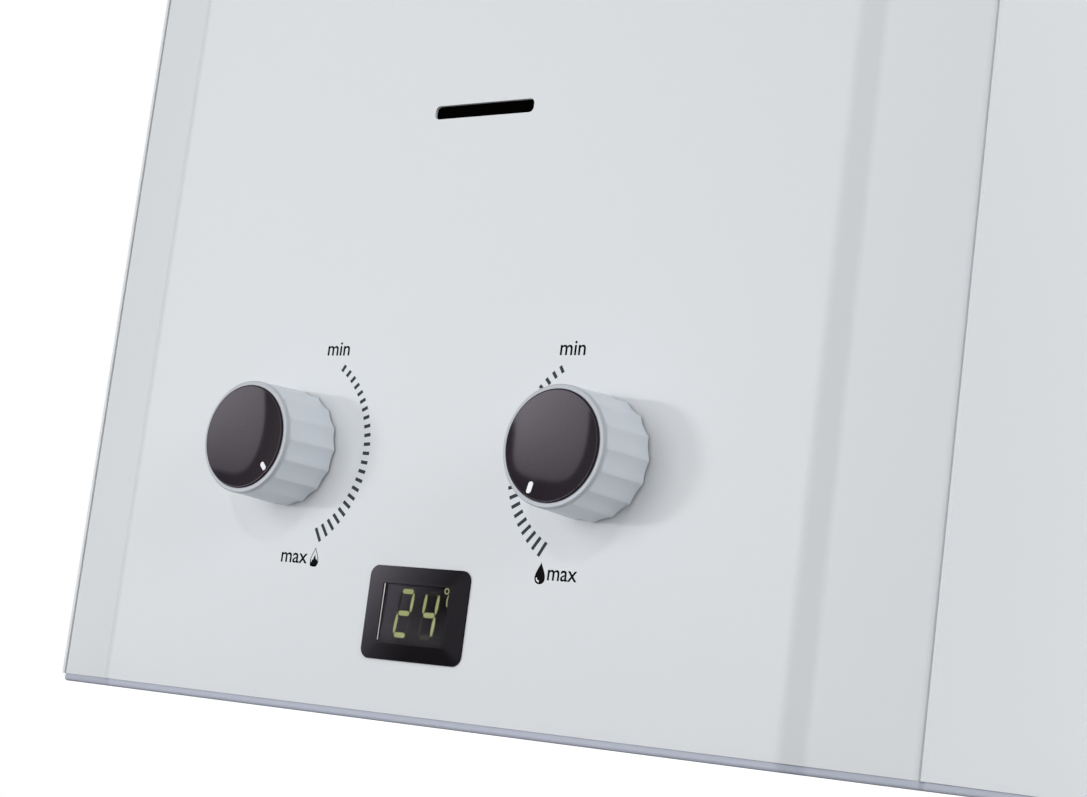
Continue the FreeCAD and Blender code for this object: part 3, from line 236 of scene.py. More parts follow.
def build_brush_group():
    """Brushed lines: noise drawn out along one direction by its stretch, and a slow drift of tone."""
    wires = Wiring.group("brushed_lines", "ShaderNodeTree", [
        ("Vector", "Vector"), ("Stretch", "Vector", (30.0, 2500.0, 2500.0)), ("Drift Size", "Float", 0.05)],
        PATTERN)
    ask, line_share, drift_share = wires.ask, 0.45, 0.55
    stretch = wires.add("ShaderNodeVectorMath", {0: ask["Vector"], 1: ask["Stretch"]}, operation="MULTIPLY")
    lines = wires.add("ShaderNodeTexNoise", {"Vector": stretch.outputs[0], "Scale": 1.0, "Detail": 4.0})
    drift = wires.add("ShaderNodeTexNoise", {
        "Vector": ask["Vector"], "Scale": wires.math("DIVIDE", 1.0, ask["Drift Size"])})
    tone = wires.math("ADD", wires.math("MULTIPLY", lines.outputs["Fac"], line_share),
                      wires.math("MULTIPLY", drift.outputs["Fac"], drift_share))
    return wires.close(Height=lines.outputs["Fac"], Tone=tone)


def build_cell_group():
    """Rounded cells: sand-cast skin or zinc spangle, by their size."""
    wires = Wiring.group("rounded_cells", "ShaderNodeTree", [
        ("Vector", "Vector"), ("Cell Size", "Float", 0.0012)], PATTERN)
    place = {"Vector": wires.ask["Vector"], "Scale": wires.math("DIVIDE", 1.0, wires.ask["Cell Size"])}
    cells = wires.add("ShaderNodeTexVoronoi", {**place, "Smoothness": 0.6}, feature="SMOOTH_F1")
    flat = wires.add("ShaderNodeTexVoronoi", place)
    split = wires.add("ShaderNodeSeparateColor", {0: flat.outputs["Color"]})
    return wires.close(Height=cells.outputs["Distance"], Tone=split.outputs[0])


def build_blend_group():
    """Base colour taken a little darker and lighter by a tone, with a second colour let in by a mask."""
    grey = (0.5, 0.5, 0.5, 1.0)
    wires = Wiring.group("tone_blend", "ShaderNodeTree", [
        ("Base", "Color", grey), ("Tone", "Float", 0.5), ("Amount", "Float", 0.05), ("Second", "Color", grey),
        ("Mask", "Float", 0.0)], [("Color", "Color")])
    ask = wires.ask
    swing = wires.math("MULTIPLY", wires.math("SUBTRACT", ask["Tone"], 0.5), ask["Amount"])
    gain = wires.math("ADD", wires.math("MULTIPLY", swing, 2.0), 1.0)
    toned = wires.add("ShaderNodeVectorMath", {0: ask["Base"], "Scale": gain}, operation="SCALE")
    mix = wires.add("ShaderNodeMix", {0: ask["Mask"], 6: toned.outputs[0], 7: ask["Second"]}, data_type="RGBA")
    return wires.close(Color=mix.outputs[2])


def build_mask_group():
    """Mask that rises along an axis between two places, for heat tint, soot, and the slow fades of painted shade
    and painted reflection.
    """
    wires = Wiring.group("axis_mask", "ShaderNodeTree", [
        ("Vector", "Vector"), ("Low", "Float", 0.17), ("High", "Float", 0.25), ("Ragged", "Float", 0.02),
        ("Axis", "Vector", (0.0, 0.0, 1.0))], [("Mask", "Float")])
    ask = wires.ask
    along = wires.add("ShaderNodeVectorMath", {0: ask["Vector"], 1: ask["Axis"]}, operation="DOT_PRODUCT")
    noise = wires.add("ShaderNodeTexNoise", {"Vector": ask["Vector"], "Scale": 60.0})
    shift = wires.math("MULTIPLY", wires.math("SUBTRACT", noise.outputs["Fac"], 0.5), ask["Ragged"])
    ramp = wires.add("ShaderNodeMapRange", {
        "Value": wires.math("ADD", along.outputs["Value"], shift), "From Min": ask["Low"],
        "From Max": ask["High"]}, interpolation_type="SMOOTHSTEP")
    return wires.close(Mask=ramp.outputs["Result"])


GROUPS = {}
FINISHES = {}
GLOSSIEST = 0.02


def finish(name, base, roughness, pattern, amount=0.03, spread=0.06, bump=0.15, depth=0.02, metallic=0.0,
           second=None, mask=None, **extra):
    """Procedural finish. The pattern is a group's name and the values of its own sockets."""
    material = bpy.data.materials.new(name)
    material.use_nodes = True
    wires = Wiring(material.node_tree)
    place = wires.add("ShaderNodeTexCoord").outputs["Object"]
    group, values = pattern
    texture = wires.add("ShaderNodeGroup", {"Vector": place, **values}, node_tree=GROUPS[group]).outputs
    tones = {"Base": (*base, 1.0), "Amount": amount, "Tone": texture["Tone"]}
    if second:
        fade = wires.add("ShaderNodeGroup", {"Vector": place, **mask}, node_tree=GROUPS["axis_mask"])
        tones.update({"Second": (*second, 1.0), "Mask": fade.outputs["Mask"]})
    blend = wires.add("ShaderNodeGroup", tones, node_tree=GROUPS["tone_blend"])
    rough = wires.add("ShaderNodeMapRange", {
        "Value": texture["Tone"], "To Min": max(GLOSSIEST, roughness - spread),
        "To Max": min(1.0, roughness + spread)})
    relief = wires.add("ShaderNodeBump", {
        "Strength": bump, "Distance": depth * MM, "Height": texture["Height"]})
    wires.fill(wires.nodes["Principled BSDF"], {
        "Base Color": blend.outputs["Color"], "Roughness": rough.outputs["Result"],
        "Normal": relief.outputs["Normal"], "Metallic": metallic,
        **{label.replace("_", " "): value for label, value in extra.items()}})
    FINISHES[name] = material


def glow(name, light):
    """Lit display segment, a little uneven along its length."""
    finish(name, (0.02, 0.02, 0.015), 0.5, ("even_grain", {"Grain Size": 0.0004}), Specular_IOR_Level=0.0)
    wires = Wiring(FINISHES[name].node_tree)
    place = wires.nodes["Texture Coordinate"].outputs["Object"]
    noise = wires.add("ShaderNodeTexNoise", {"Vector": place, "Scale": 700.0})
    blend = wires.add("ShaderNodeGroup", {
        "Base": (*light, 1.0), "Amount": 0.10, "Tone": noise.outputs["Fac"]}, node_tree=GROUPS["tone_blend"])
    wires.fill(wires.nodes["Principled BSDF"], {
        "Emission Color": blend.outputs["Color"], "Emission Strength": 1.0})


def shaded(tone, factor):
    """Colour made darker or lighter."""
    return [factor * part for part in tone]


def dress(material, *names):
    """Gives CAD nodes their finish."""
    for name in names:
        NODES[name].material_slots[0].material = FINISHES[material]


# ---- meshes ----
def placed(name, data):
    """Object in the scene, at the origin."""
    obj = bpy.data.objects.new(name, data)
    bpy.context.scene.collection.objects.link(obj)
    return obj


def piece(name, mesh, material, body):
    """Object at the origin that rides on a body."""
    obj = placed(name, mesh)
    if material:
        mesh.materials.clear()
        mesh.materials.append(FINISHES[material])
    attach(obj, body)
    return obj


def outward(mesh):
    """Turns a closed mesh's faces outwards."""
    edit = bmesh.new()
    edit.from_mesh(mesh)
    bmesh.ops.remove_doubles(edit, verts=edit.verts, dist=WELD)
    bmesh.ops.recalc_face_normals(edit, faces=edit.faces)
    edit.to_mesh(mesh)
    edit.free()
    return mesh


def plain_mesh(name, verts, faces):
    """Mesh of points and faces."""
    mesh = bpy.data.meshes.new(name)
    mesh.from_pydata(verts, [], faces)
    return mesh


def slab_mesh(name, outlines, y_front, y_back):
    """Closed flat slabs over outlines of x, z points, counter-clockwise as seen from the front."""
    verts, faces = [], []
    for outline in outlines:
        first, total = len(verts), len(outline)
        verts += [(x, y_front, z) for x, z in outline] + [(x, y_back, z) for x, z in outline]
        faces.append([first + i for i in range(total)])
        faces.append([first + total + i for i in reversed(range(total))])
        for i in range(total):
            j = (i + 1) % total
            faces.append([first + i, first + total + i, first + total + j, first + j])
    mesh = plain_mesh(name, verts, faces)
    mesh.validate()
    return mesh


def arc(x, z, radius, first, last, steps, flat=1.0):
    """Points of x and z on an arc between two angles in degrees, pressed flat by a factor."""
    turns = [math.radians(first + (last - first) * i / steps) for i in range(steps + 1)]
    return [(x + radius * math.cos(turn), z + radius * flat * math.sin(turn)) for turn in turns]


def strip_faces(rows, columns, closed=False):
    """Quads between rows of points; a closed strip also joins the last column to the first."""
    wide = columns if closed else columns - 1
    return [[row * columns + i, row * columns + (i + 1) % columns,
             (row + 1) * columns + (i + 1) % columns, (row + 1) * columns + i]
            for row in range(rows - 1) for i in range(wide)]


def evaluated_mesh(maker):
    """Plain mesh of what an object comes out as."""
    graph = bpy.context.evaluated_depsgraph_get()
    return bpy.data.meshes.new_from_object(maker.evaluated_get(graph))


def grown(name, seed, tree, values):
    """Plain mesh that a tree makes from a seed mesh and its named inputs."""
    maker = placed(name + "_maker", seed)
    modifier = maker.modifiers.new("grow", "NODES")
    modifier.node_group = tree
    for item in tree.interface.items_tree:
        if item.in_out == "INPUT" and item.name in values:
            modifier[item.identifier] = values[item.name]
    mesh = evaluated_mesh(maker)
    mesh.name = name
    maker.modifiers.remove(modifier)
    bpy.data.objects.remove(maker)
    if not mesh.polygons:
        raise RuntimeError(f"the tree made no faces for {name}")
    return mesh


# ---- geometry trees ----
def geometry_tree(name, *inputs):
    """Geometry tree with a geometry input and named inputs."""
    whole = [("Geometry", "Geometry")]
    return Wiring.group(name, "GeometryNodeTree", whole + list(inputs), whole)


def end_tree(wires, geometry, material):
    """Last nodes of every tree: Realize Instances and Set Material."""
    real = wires.add("GeometryNodeRealizeInstances", {0: geometry})
    paint = wires.add("GeometryNodeSetMaterial", {0: real.outputs[0], "Material": FINISHES[material]})
    return wires.close(Geometry=paint.outputs[0])


def point_index(wires):
    """Number of the point that is being placed."""
    return wires.add("GeometryNodeInputIndex").outputs[0]


def copies(wires, total, place, instance, **more):
    """Instances on a number of points, each at its own place."""
    points = wires.add("GeometryNodePoints", {"Count": total, "Position": place})
    return wires.add("GeometryNodeInstanceOnPoints", {
        "Points": points.outputs[0], "Instance": instance, **more}).outputs[0]


def dash_tree(material):
    """Dashes set out on an arc, longer towards the end of it."""
    sizes = [(label, "Float") for label in ("Radius", "Start", "Sweep", "Short", "Long", "Width", "Height")]
    wires = geometry_tree("scale_dashes", ("Dashes", "Int"), ("Centre", "Vector"), *sizes)
    ask, calc, lateness = wires.ask, wires.math, 3.0
    share = calc("DIVIDE", point_index(wires), calc("SUBTRACT", ask["Dashes"], 1.0))
    turn = calc("ADD", ask["Start"], calc("MULTIPLY", share, ask["Sweep"]))
    growth = calc("MULTIPLY", calc("POWER", share, lateness), calc("SUBTRACT", ask["Long"], ask["Short"]))
    offset = wires.add("ShaderNodeCombineXYZ", {
        0: calc("MULTIPLY", ask["Radius"], calc("COSINE", turn)),
        2: calc("MULTIPLY", ask["Radius"], calc("SINE", turn))})
    place = wires.add("ShaderNodeVectorMath", {0: offset.outputs[0], 1: ask["Centre"]})
    size = wires.add("ShaderNodeCombineXYZ", {
        0: calc("ADD", ask["Short"], growth), 1: ask["Height"], 2: ask["Width"]})
    lean = wires.add("ShaderNodeCombineXYZ", {1: calc("MULTIPLY", turn, -1.0)})
    dash = wires.add("GeometryNodeMeshCube")
    dashes = copies(wires, ask["Dashes"], place.outputs[0], dash.outputs["Mesh"],
                    Rotation=lean.outputs[0], Scale=size.outputs[0])
    return end_tree(wires, dashes, material)


def wheel_tree(material):
    """Copies of a sector side by side round an axis along Y, welded into one body."""
    wires = geometry_tree("knob_wheel", ("Sectors", "Int"), ("Centre", "Vector"), ("Weld", "Float"))
    ask = wires.ask
    share = wires.math("DIVIDE", point_index(wires), ask["Sectors"])
    turn = wires.add("ShaderNodeCombineXYZ", {1: wires.math("MULTIPLY", share, FULL_TURN)})
    sectors = copies(wires, ask["Sectors"], ask["Centre"], ask["Geometry"], Rotation=turn.outputs[0])
    real = wires.add("GeometryNodeRealizeInstances", {0: sectors})
    weld = wires.add("GeometryNodeMergeByDistance", {0: real.outputs[0], "Distance": ask["Weld"]})
    return end_tree(wires, weld.outputs[0], material)


def rack_tree(material):
    """Copies of the seed mesh in columns and rows from a first place."""
    wires = geometry_tree("screw_rack", ("Columns", "Int"), ("Rows", "Int"), ("First", "Vector"),
                          ("Across", "Vector"), ("Up", "Vector"))
    ask, calc, index = wires.ask, wires.math, point_index(wires)
    column = calc("MODULO", index, ask["Columns"])
    row = calc("FLOOR", calc("DIVIDE", calc("ADD", index, 0.5), ask["Columns"]))
    place = ask["First"]
    for step, times in ((ask["Across"], column), (ask["Up"], row)):
        moved = wires.add("ShaderNodeVectorMath", {0: step, "Scale": times}, operation="SCALE")
        place = wires.add("ShaderNodeVectorMath", {0: place, 1: moved.outputs[0]}).outputs[0]
    total = calc("MULTIPLY", ask["Columns"], ask["Rows"])
    return end_tree(wires, copies(wires, total, place, ask["Geometry"]), material)


def sleeve_tree(material):
    """Ribbed sleeve along X: a line whose radius rises and falls with each rib and drops at both ends."""
    sizes = [(label, "Float") for label in ("Radius", "Depth", "Shoulder", "End Share", "End Drop")]
    wires = geometry_tree("ribbed_sleeve", ("Ribs", "Int"), ("Rings", "Int"), ("Start", "Vector"),
                          ("End", "Vector"), *sizes)
    ask, calc, narrowness, roundness, facets = wires.ask, wires.math, 3.0, 2.0, 64
    line = wires.add("GeometryNodeCurvePrimitiveLine", {"Start": ask["Start"], "End": ask["End"]})
    rings = calc("ADD", calc("MULTIPLY", ask["Ribs"], ask["Rings"]), 1.0)
    path = wires.add("GeometryNodeResampleCurve", {"Curve": line.outputs[0], "Count": rings})
    along = wires.add("GeometryNodeSplineParameter").outputs["Factor"]
    phase = calc("MULTIPLY", calc("MULTIPLY", along, ask["Ribs"]), FULL_TURN)
    wave = calc("MULTIPLY", calc("ADD", calc("COSINE", phase), 1.0), 0.5)
    groove = calc("MULTIPLY", calc("POWER", wave, narrowness), ask["Depth"])
    near_end = calc("MINIMUM", along, calc("SUBTRACT", 1.0, along))
    collar = calc("LESS_THAN", near_end, ask["Shoulder"])
    kept = calc("MULTIPLY", groove, calc("SUBTRACT", 1.0, collar))
    close = calc("SUBTRACT", 1.0, calc("DIVIDE", near_end, ask["End Share"], clamp=True), clamp=True)
    drop = calc("MULTIPLY", calc("POWER", close, roundness), ask["End Drop"])
    radius = calc("SUBTRACT", calc("SUBTRACT", ask["Radius"], kept), drop)
    circle = wires.add("GeometryNodeCurvePrimitiveCircle", {"Resolution": facets, "Radius": 1.0})
    skin = wires.add("GeometryNodeCurveToMesh", {
        "Curve": path.outputs[0], "Profile Curve": circle.outputs[0], "Scale": radius, "Fill Caps": True})
    smooth = wires.add("GeometryNodeSetShadeSmooth", {0: skin.outputs[0]})
    return end_tree(wires, smooth.outputs[0], material)


# ---- operators ----
class HEATER_OT_mix_finishes(bpy.types.Operator):
    """Builds the shader groups and every finish."""
    bl_idname = "heater.mix_finishes"
    bl_label = "Mix finishes"

    def execute(self, context):
        look = context.scene.heater_finish
        GROUPS.update({
            "even_grain": build_grain_group(), "brushed_lines": build_brush_group(),
            "rounded_cells": build_cell_group(), "tone_blend": build_blend_group(),
            "axis_mask": build_mask_group()})
        peel = ("even_grain", {"Grain Size": 0.0011, "Drift Size": 0.12, "Detail": 1.0})
        grain = ("even_grain", {"Grain Size": 0.00022, "Drift Size": 0.02, "Detail": 2.0})
        speckle = ("even_grain", {"Grain Size": 0.00045, "Drift Size": 0.00060, "Detail": 2.0})
        soft = ("even_grain", {"Grain Size": 0.0006, "Drift Size": 0.03, "Detail": 2.0})
        across = ("brushed_lines", {"Stretch": (25.0, 2600.0, 2600.0)})
        upright = ("brushed_lines", {"Stretch": (2600.0, 2600.0, 25.0)})
        turned = ("brushed_lines", {"Stretch": (900.0, 900.0, 4200.0), "Drift Size": 0.01})
        spangle = ("rounded_cells", {"Cell Size": 0.0075})
        cast = ("rounded_cells", {"Cell Size": 0.0009})
        rim = -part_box("gas_knob_body")[0].y
        # the front 3 mm of each knob gets a darker silver: painted shade on the rim
        painted_rim_shade = {"Low": rim - 3.0 * MM, "High": rim - 0.3 * MM, "Ragged": 0.0, "Axis": (0.0, -1.0, 0.0)}
        # grey towards the upper left, fading to black towards the lower right: a painted reflection on the bezel
        # and on the board behind the window
        painted_sheen_fade = {"Low": 0.0133, "High": 0.1172, "Ragged": 0.0, "Axis": (-1.0, 0.0, 0.767)}
        band = {"Low": -0.0525, "High": -0.0520, "Ragged": 0.0, "Axis": (1.0, 0.0, 0.0)}

        # name, colour, roughness and pattern, then amount, spread, bump, depth in mm, and metallic
        finish("case_enamel", look.paint, 0.46, peel, 0.008, 0.03, 0.10, 0.006, Specular_IOR_Level=0.20)
        # partly painted shade for the band along the bottom
        finish("base_enamel_and_shade", look.base_paint, 0.46, peel, 0.02, 0.04, 0.12, 0.008)
        finish("zinc_sheet", (0.60, 0.61, 0.62), 0.42, spangle, 0.07, 0.10, 0.05, 0.01, 0.9)
        finish("brushed_stainless", (0.62, 0.62, 0.61), 0.30, across, 0.05, 0.08, 0.12, 0.006, 1.0)
        finish("polished_rod", (0.66, 0.66, 0.65), 0.20, across, 0.04, 0.06, 0.08, 0.004, 1.0)
        finish("plated_screw", (0.62, 0.63, 0.65), 0.26, grain, 0.06, 0.08, 0.10, 0.005, 1.0)
        # the second colour darkens the front rim of the knob: painted shade
        finish("knob_lacquer", look.silver, 0.32, grain, 0.015, 0.03, 0.05, 0.003, 0.05,
               second=shaded(look.silver, 0.68), mask=painted_rim_shade, Specular_IOR_Level=0.12)
        finish("cap_moulding", look.charcoal, 0.10, speckle, 0.35, 0.03, 0.08, 0.002, Specular_IOR_Level=0.30)
        finish("pointer_white", (0.88, 0.89, 0.90), 0.30, soft, 0.02, 0.05, 0.08, 0.005)
        # the bezel's second colour is a painted reflection
        finish("bezel_black", (0.0065, 0.0055, 0.0072), 0.30, grain, 0.03, 0.03, 0.06, 0.002,
               second=(0.285, 0.262, 0.305), mask=painted_sheen_fade, Specular_IOR_Level=0.05)
        # the board's second colour is a painted reflection seen through the window
        finish("display_back", (0.0060, 0.0048, 0.0068), 0.6, soft, 0.05, 0.05, 0.05, 0.003,
               second=(0.50, 0.46, 0.54), mask=painted_sheen_fade, Specular_IOR_Level=0.0)
        finish("tinted_window", (0.84, 0.84, 0.84), 0.03, soft, 0.01, 0.01, 0.01, 0.001,
               Transmission_Weight=1.0, IOR=1.02)
        # near-white strip at the edge of the window's opening: a painted highlight
        finish("painted_highlight_white", (0.97, 0.95, 0.91), 0.30, soft, 0.02, 0.04, 0.03, 0.002)
        # smoke mica made opaque and near black: painted shade for the dark behind the flame window
        finish("mica_sheet", (0.0012, 0.0010, 0.0008), 0.24, soft, 0.30, 0.06, 0.10, 0.006,
               Specular_IOR_Level=0.0)
        finish("grip_rubber", (0.018, 0.018, 0.020), 0.62, grain, 0.10, 0.08, 0.25, 0.01)
        finish("cast_skin", (0.50, 0.51, 0.52), 0.52, cast, 0.08, 0.08, 0.35, 0.03, 0.85)
        finish("turned_brass", (0.70, 0.50, 0.20), 0.28, turned, 0.06, 0.08, 0.15, 0.006, 1.0)
        finish("copper_tube", (0.80, 0.40, 0.26), 0.30, soft, 0.10, 0.10, 0.10, 0.01, 1.0,
               second=(0.30, 0.16, 0.12), mask={"Low": 0.40, "High": 0.47, "Ragged": 0.03})
        finish("copper_shell", (0.78, 0.38, 0.24), 0.36, upright, 0.10, 0.10, 0.10, 0.01, 1.0,
               second=(0.22, 0.13, 0.12), mask={"Low": 0.17, "High": 0.30, "Ragged": 0.05})
        finish("burner_steel", (0.46, 0.43, 0.40), 0.40, upright, 0.08, 0.10, 0.10, 0.01, 1.0,
               second=(0.16, 0.12, 0.20), mask={"Low": 0.150, "High": 0.172, "Ragged": 0.012})
        finish("glazed_ceramic", (0.86, 0.85, 0.81), 0.14, soft, 0.03, 0.05, 0.06, 0.005, Coat_Weight=0.6)
        finish("natural_nylon", (0.78, 0.76, 0.68), 0.45, soft, 0.03, 0.06, 0.10, 0.008)
        finish("grey_moulding", (0.028, 0.030, 0.033), 0.50, grain, 0.08, 0.06, 0.20, 0.008)
        finish("drawer_moulding", shaded(look.paint, 0.96), 0.48, grain, 0.01, 0.04, 0.15, 0.006)
        finish("cell_sleeve", (0.030, 0.034, 0.042), 0.32, soft, 0.08, 0.06, 0.05, 0.004,
               second=(0.46, 0.30, 0.10), mask=band)
        finish("nickel_spring", (0.72, 0.69, 0.63), 0.16, grain, 0.05, 0.05, 0.06, 0.003, 1.0)
        finish("lead_silicone", (0.42, 0.05, 0.03), 0.50, grain, 0.06, 0.06, 0.12, 0.006)
        finish("dash_ink", look.ink, 0.60, soft, 0.05, 0.05, 0.05, 0.003, Specular_IOR_Level=0.1)
        finish("word_ink", look.lettering, 0.60, soft, 0.05, 0.05, 0.05, 0.003, Specular_IOR_Level=0.03)
        finish("clear_ink", (0.80, 0.82, 0.83), 0.60, soft, 0.02, 0.05, 0.05, 0.003, Specular_IOR_Level=0.1)
        finish("floor_card", (0.50, 0.50, 0.50), 0.85, peel, 0.01, 0.03, 0.05, 0.01)
        self.whiten_floor()
        glow("segment_lit", look.segment)
        glow("segment_halo", shaded(look.segment, 0.075))
        # unlit segments glow faintly: painted light in place of what they would reflect
        glow("segment_ghost", (0.012, 0.0105, 0.012))
        glow("sign_lit", (0.26, 0.27, 0.13))
        return {"FINISHED"}

    def whiten_floor(self):
        """White to the eye, and dim in what it throws back on the heater."""
        wires = Wiring(FINISHES["floor_card"].node_tree)
        path = wires.add("ShaderNodeLightPath")
        mix = wires.add("ShaderNodeMix", {
            0: path.outputs["Is Camera Ray"], 6: (0.0, 0.0, 0.0, 1.0), 7: (1.0, 1.0, 1.0, 1.0)}, data_type="RGBA")
        wires.fill(wires.nodes["Principled BSDF"], {"Emission Color": mix.outputs[2], "Emission Strength": 0.75})


class HEATER_OT_finish_case(bpy.types.Operator):
    """Finishes the case, its window and the sheet pieces on top."""
    bl_idname = "heater.finish_case"
    bl_label = "Finish case"

    def execute(self, context):
        dress("case_enamel", "front_cover", "right_side_panel", "left_side_panel", "top_plate")
        dress("base_enamel_and_shade", "base_plate")
        dress("zinc_sheet", "back_plate", "window_frame")
        dress("mica_sheet", "flame_window")
        dress("brushed_stainless", "rain_cap", "handle_ears")
        dress("polished_rod", "handle_bail")
        dress("drawer_moulding", "battery_drawer")
        dress("grey_moulding", "battery_housing", "control_box")
        dress("cell_sleeve", "battery_cells")
        dress("nickel_spring", "battery_contacts")
        return {"FINISHED"}


class HEATER_OT_finish_works(bpy.types.Operator):
    """Finishes the valves, pipes, burner and heat exchanger."""
    bl_idname = "heater.finish_works"
    bl_label = "Finish works"

    def execute(self, context):
        dress("cast_skin", "gas_valve_body", "water_valve_body", "diaphragm_cover", "gas_manifold")
        dress("turned_brass", "gas_inlet_port", "cold_inlet_port", "hot_outlet_port", "valve_bridge",
              "drain_screw", "gas_spindle", "water_spindle")
        dress("copper_tube", "cold_pipe", "hot_pipe", "gas_feed_pipe", "exchanger_fins", "exchanger_tubes",
              "gas_solenoid")
        dress("copper_shell", "exchanger_shell")
        dress("zinc_sheet", "burner_tray", "draft_hood")
        dress("burner_steel", "burner_bars")
        dress("glazed_ceramic", "ignition_electrode", "flame_sensor")
        dress("lead_silicone", "ignition_lead")
        dress("grey_moulding", "overheat_switch", "flow_switch")
        dress("natural_nylon", "spindle_bushes", "switch_plunger")
        dress("polished_rod", "push_rod", "gas_knob_clip", "water_knob_clip")
        return {"FINISHED"}


class HEATER_OT_finish_knobs(bpy.types.Operator):
    """Finishes the two knobs."""
    bl_idname = "heater.finish_knobs"
    bl_label = "Finish knobs"

    def execute(self, context):
        for side in ("gas", "water"):
            dress("knob_lacquer", side + "_knob_body")
            dress("cap_moulding", side + "_knob_cap")
            dress("pointer_white", side + "_knob_mark")
        return {"FINISHED"}


def knob_centre(side):
    """Point where a knob's axis meets the panel."""
    low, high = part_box(side + "_knob_cap")
    return Vector(((low.x + high.x) / 2, FRONT_Y, (low.z + high.z) / 2))


def flat_word(word, offset):
    """Plain outline mesh of a word, one unit high."""
    curve = bpy.data.curves.new("word_" + word, "FONT")
    curve.body = word
    curve.offset = offset
    curve.resolution_u = 8
    curve.fill_mode = "FRONT"
    maker = placed("word_maker", curve)
    mesh = evaluated_mesh(maker)
    bpy.data.objects.remove(maker)
    return mesh


def word_mesh(word, height, x, z, width, ink):
    """Word centred on x and z, drawn to a width and to a height of its small letters."""
    small = [v.co.y for v in flat_word("x", offset=0.0).vertices]
    rise = height / (max(small) - min(small))
    mesh = flat_word(word, offset=0.008)
    xs = [v.co.x for v in mesh.vertices]
    ys = [v.co.y for v in mesh.vertices]
    middle = ((min(xs) + max(xs)) / 2, (min(ys) + max(ys)) / 2)
    for v in mesh.vertices:
        across = (v.co.x - middle[0]) / (max(xs) - min(xs))
        v.co = Vector((x + across * width, FRONT_Y - ink, z + (v.co.y - middle[1]) * rise))
    edit = bmesh.new()
    edit.from_mesh(mesh)
    bmesh.ops.remove_doubles(edit, verts=edit.verts, dist=WELD)
    made = bmesh.ops.extrude_face_region(edit, geom=edit.faces[:])
    moved = [item for item in made["geom"] if isinstance(item, bmesh.types.BMVert)]
    bmesh.ops.translate(edit, verts=moved, vec=(0.0, ink, 0.0))
    bmesh.ops.recalc_face_normals(edit, faces=edit.faces)
    edit.to_mesh(mesh)
    edit.free()
    return mesh


def drop_outline(x, z, width, height):
    """Pointed drop: round below, drawn up to a tip."""
    steps, fullness, point = 40, 0.62, 1.6
    points = []
    for i in reversed(range(steps)):
        turn = FULL_TURN * i / steps
        side = math.sin(turn) * math.sin(turn / 2) ** point
        points.append((x + width * fullness * side, z + height / 2 * math.cos(turn)))
    return points


def ring_slabs(outer, inner):
    """Quads between two outlines of equal length."""
    ends = zip(outer, outer[1:] + outer[:1], inner[1:] + inner[:1], inner)
    return [list(quad) for quad in ends]


class HEATER_OT_print_scales(bpy.types.Operator):
    """Prints the dashes, the words and the two signs round the knobs."""
    bl_idname = "heater.print_scales"
    bl_label = "Print scales"

    def execute(self, context):
        scale = context.scene.heater_scale
        ink = scale.ink_height
        tree = dash_tree("dash_ink")
        seed = bpy.data.meshes.new("dash_seed")
        for side, start, hand in (("gas", scale.start, 1.0), ("water", math.pi - scale.start, -1.0)):
            mesh = grown(side + "_scale_dashes", seed, tree, {
                "Dashes": scale.dashes, "Centre": knob_centre(side) - Vector((0, ink / 2, 0)),
                "Radius": scale.radius, "Start": start, "Sweep": -hand * scale.sweep,
                "Short": scale.short, "Long": scale.long, "Width": scale.width, "Height": ink})
            piece(side + "_scale_dashes", mesh, None, "casing")
        # name, word, middle along x and z, and width, in mm
        for name, word, x, z, width in (
                ("gas_word_min", "min", -45.7, 112.0, 9.1), ("gas_word_max", "max", -52.1, 46.1, 11.0),
                ("water_word_min", "min", 45.5, 112.1, 9.1), ("water_word_max", "max", 51.8, 46.5, 10.4)):
            mesh = word_mesh(word, scale.word_height, x * MM, z * MM, width * MM, ink)
            piece(name, mesh, "word_ink", "casing")
        self.draw_flame(-43.6 * MM, 46.8 * MM, FRONT_Y - ink)
        self.draw_drop(43.95 * MM, 46.85 * MM, FRONT_Y - ink)
        return {"FINISHED"}

    def draw_flame(self, x, z, front):
        """Flame outline round a small flame."""
        rim = drop_outline(x, z, 4.0 * MM, 6.1 * MM)
        bore = drop_outline(x, z + 0.02 * MM, 3.3 * MM, 5.1 * MM)
        mesh = outward(slab_mesh("flame_sign", ring_slabs(rim, bore), front, FRONT_Y))
        piece("flame_sign", mesh, "word_ink", "casing")
        # corners of the small flame, in mm from the sign's middle
        tongues = [(-1.35, -2.90), (1.05, -2.90), (1.45, -2.2), (1.35, -1.3), (0.95, -0.55), (0.70, -0.80),
                   (0.45, -0.2), (0.10, 0.75), (-0.30, -0.1), (-0.50, -0.90), (-0.80, -0.75), (-1.10, -1.5),
                   (-1.55, -2.3)]
        flame = [(x + a * MM, z + b * MM) for a, b in tongues]
        piece("flame_sign_heart", slab_mesh("flame_sign_heart", [flame], front, FRONT_Y), "word_ink", "casing")

    def draw_drop(self, x, z, front):
        """Filled drop with a glint."""
        drop = drop_outline(x, z, 4.3 * MM, 6.3 * MM)
        piece("drop_sign", slab_mesh("drop_sign", [drop], front, FRONT_Y), "word_ink", "casing")
        first, last, steps = 182, 263, 9
        outer = arc(x, z - 1.3 * MM, 1.35 * MM, first, last, steps)
        inner = arc(x, z - 1.2 * MM, 1.00 * MM, last, first, steps, flat=0.95)
        glint = slab_mesh("drop_glint", [outer + inner], front - 0.01 * MM, front)
        piece("drop_glint", glint, "clear_ink", "casing")


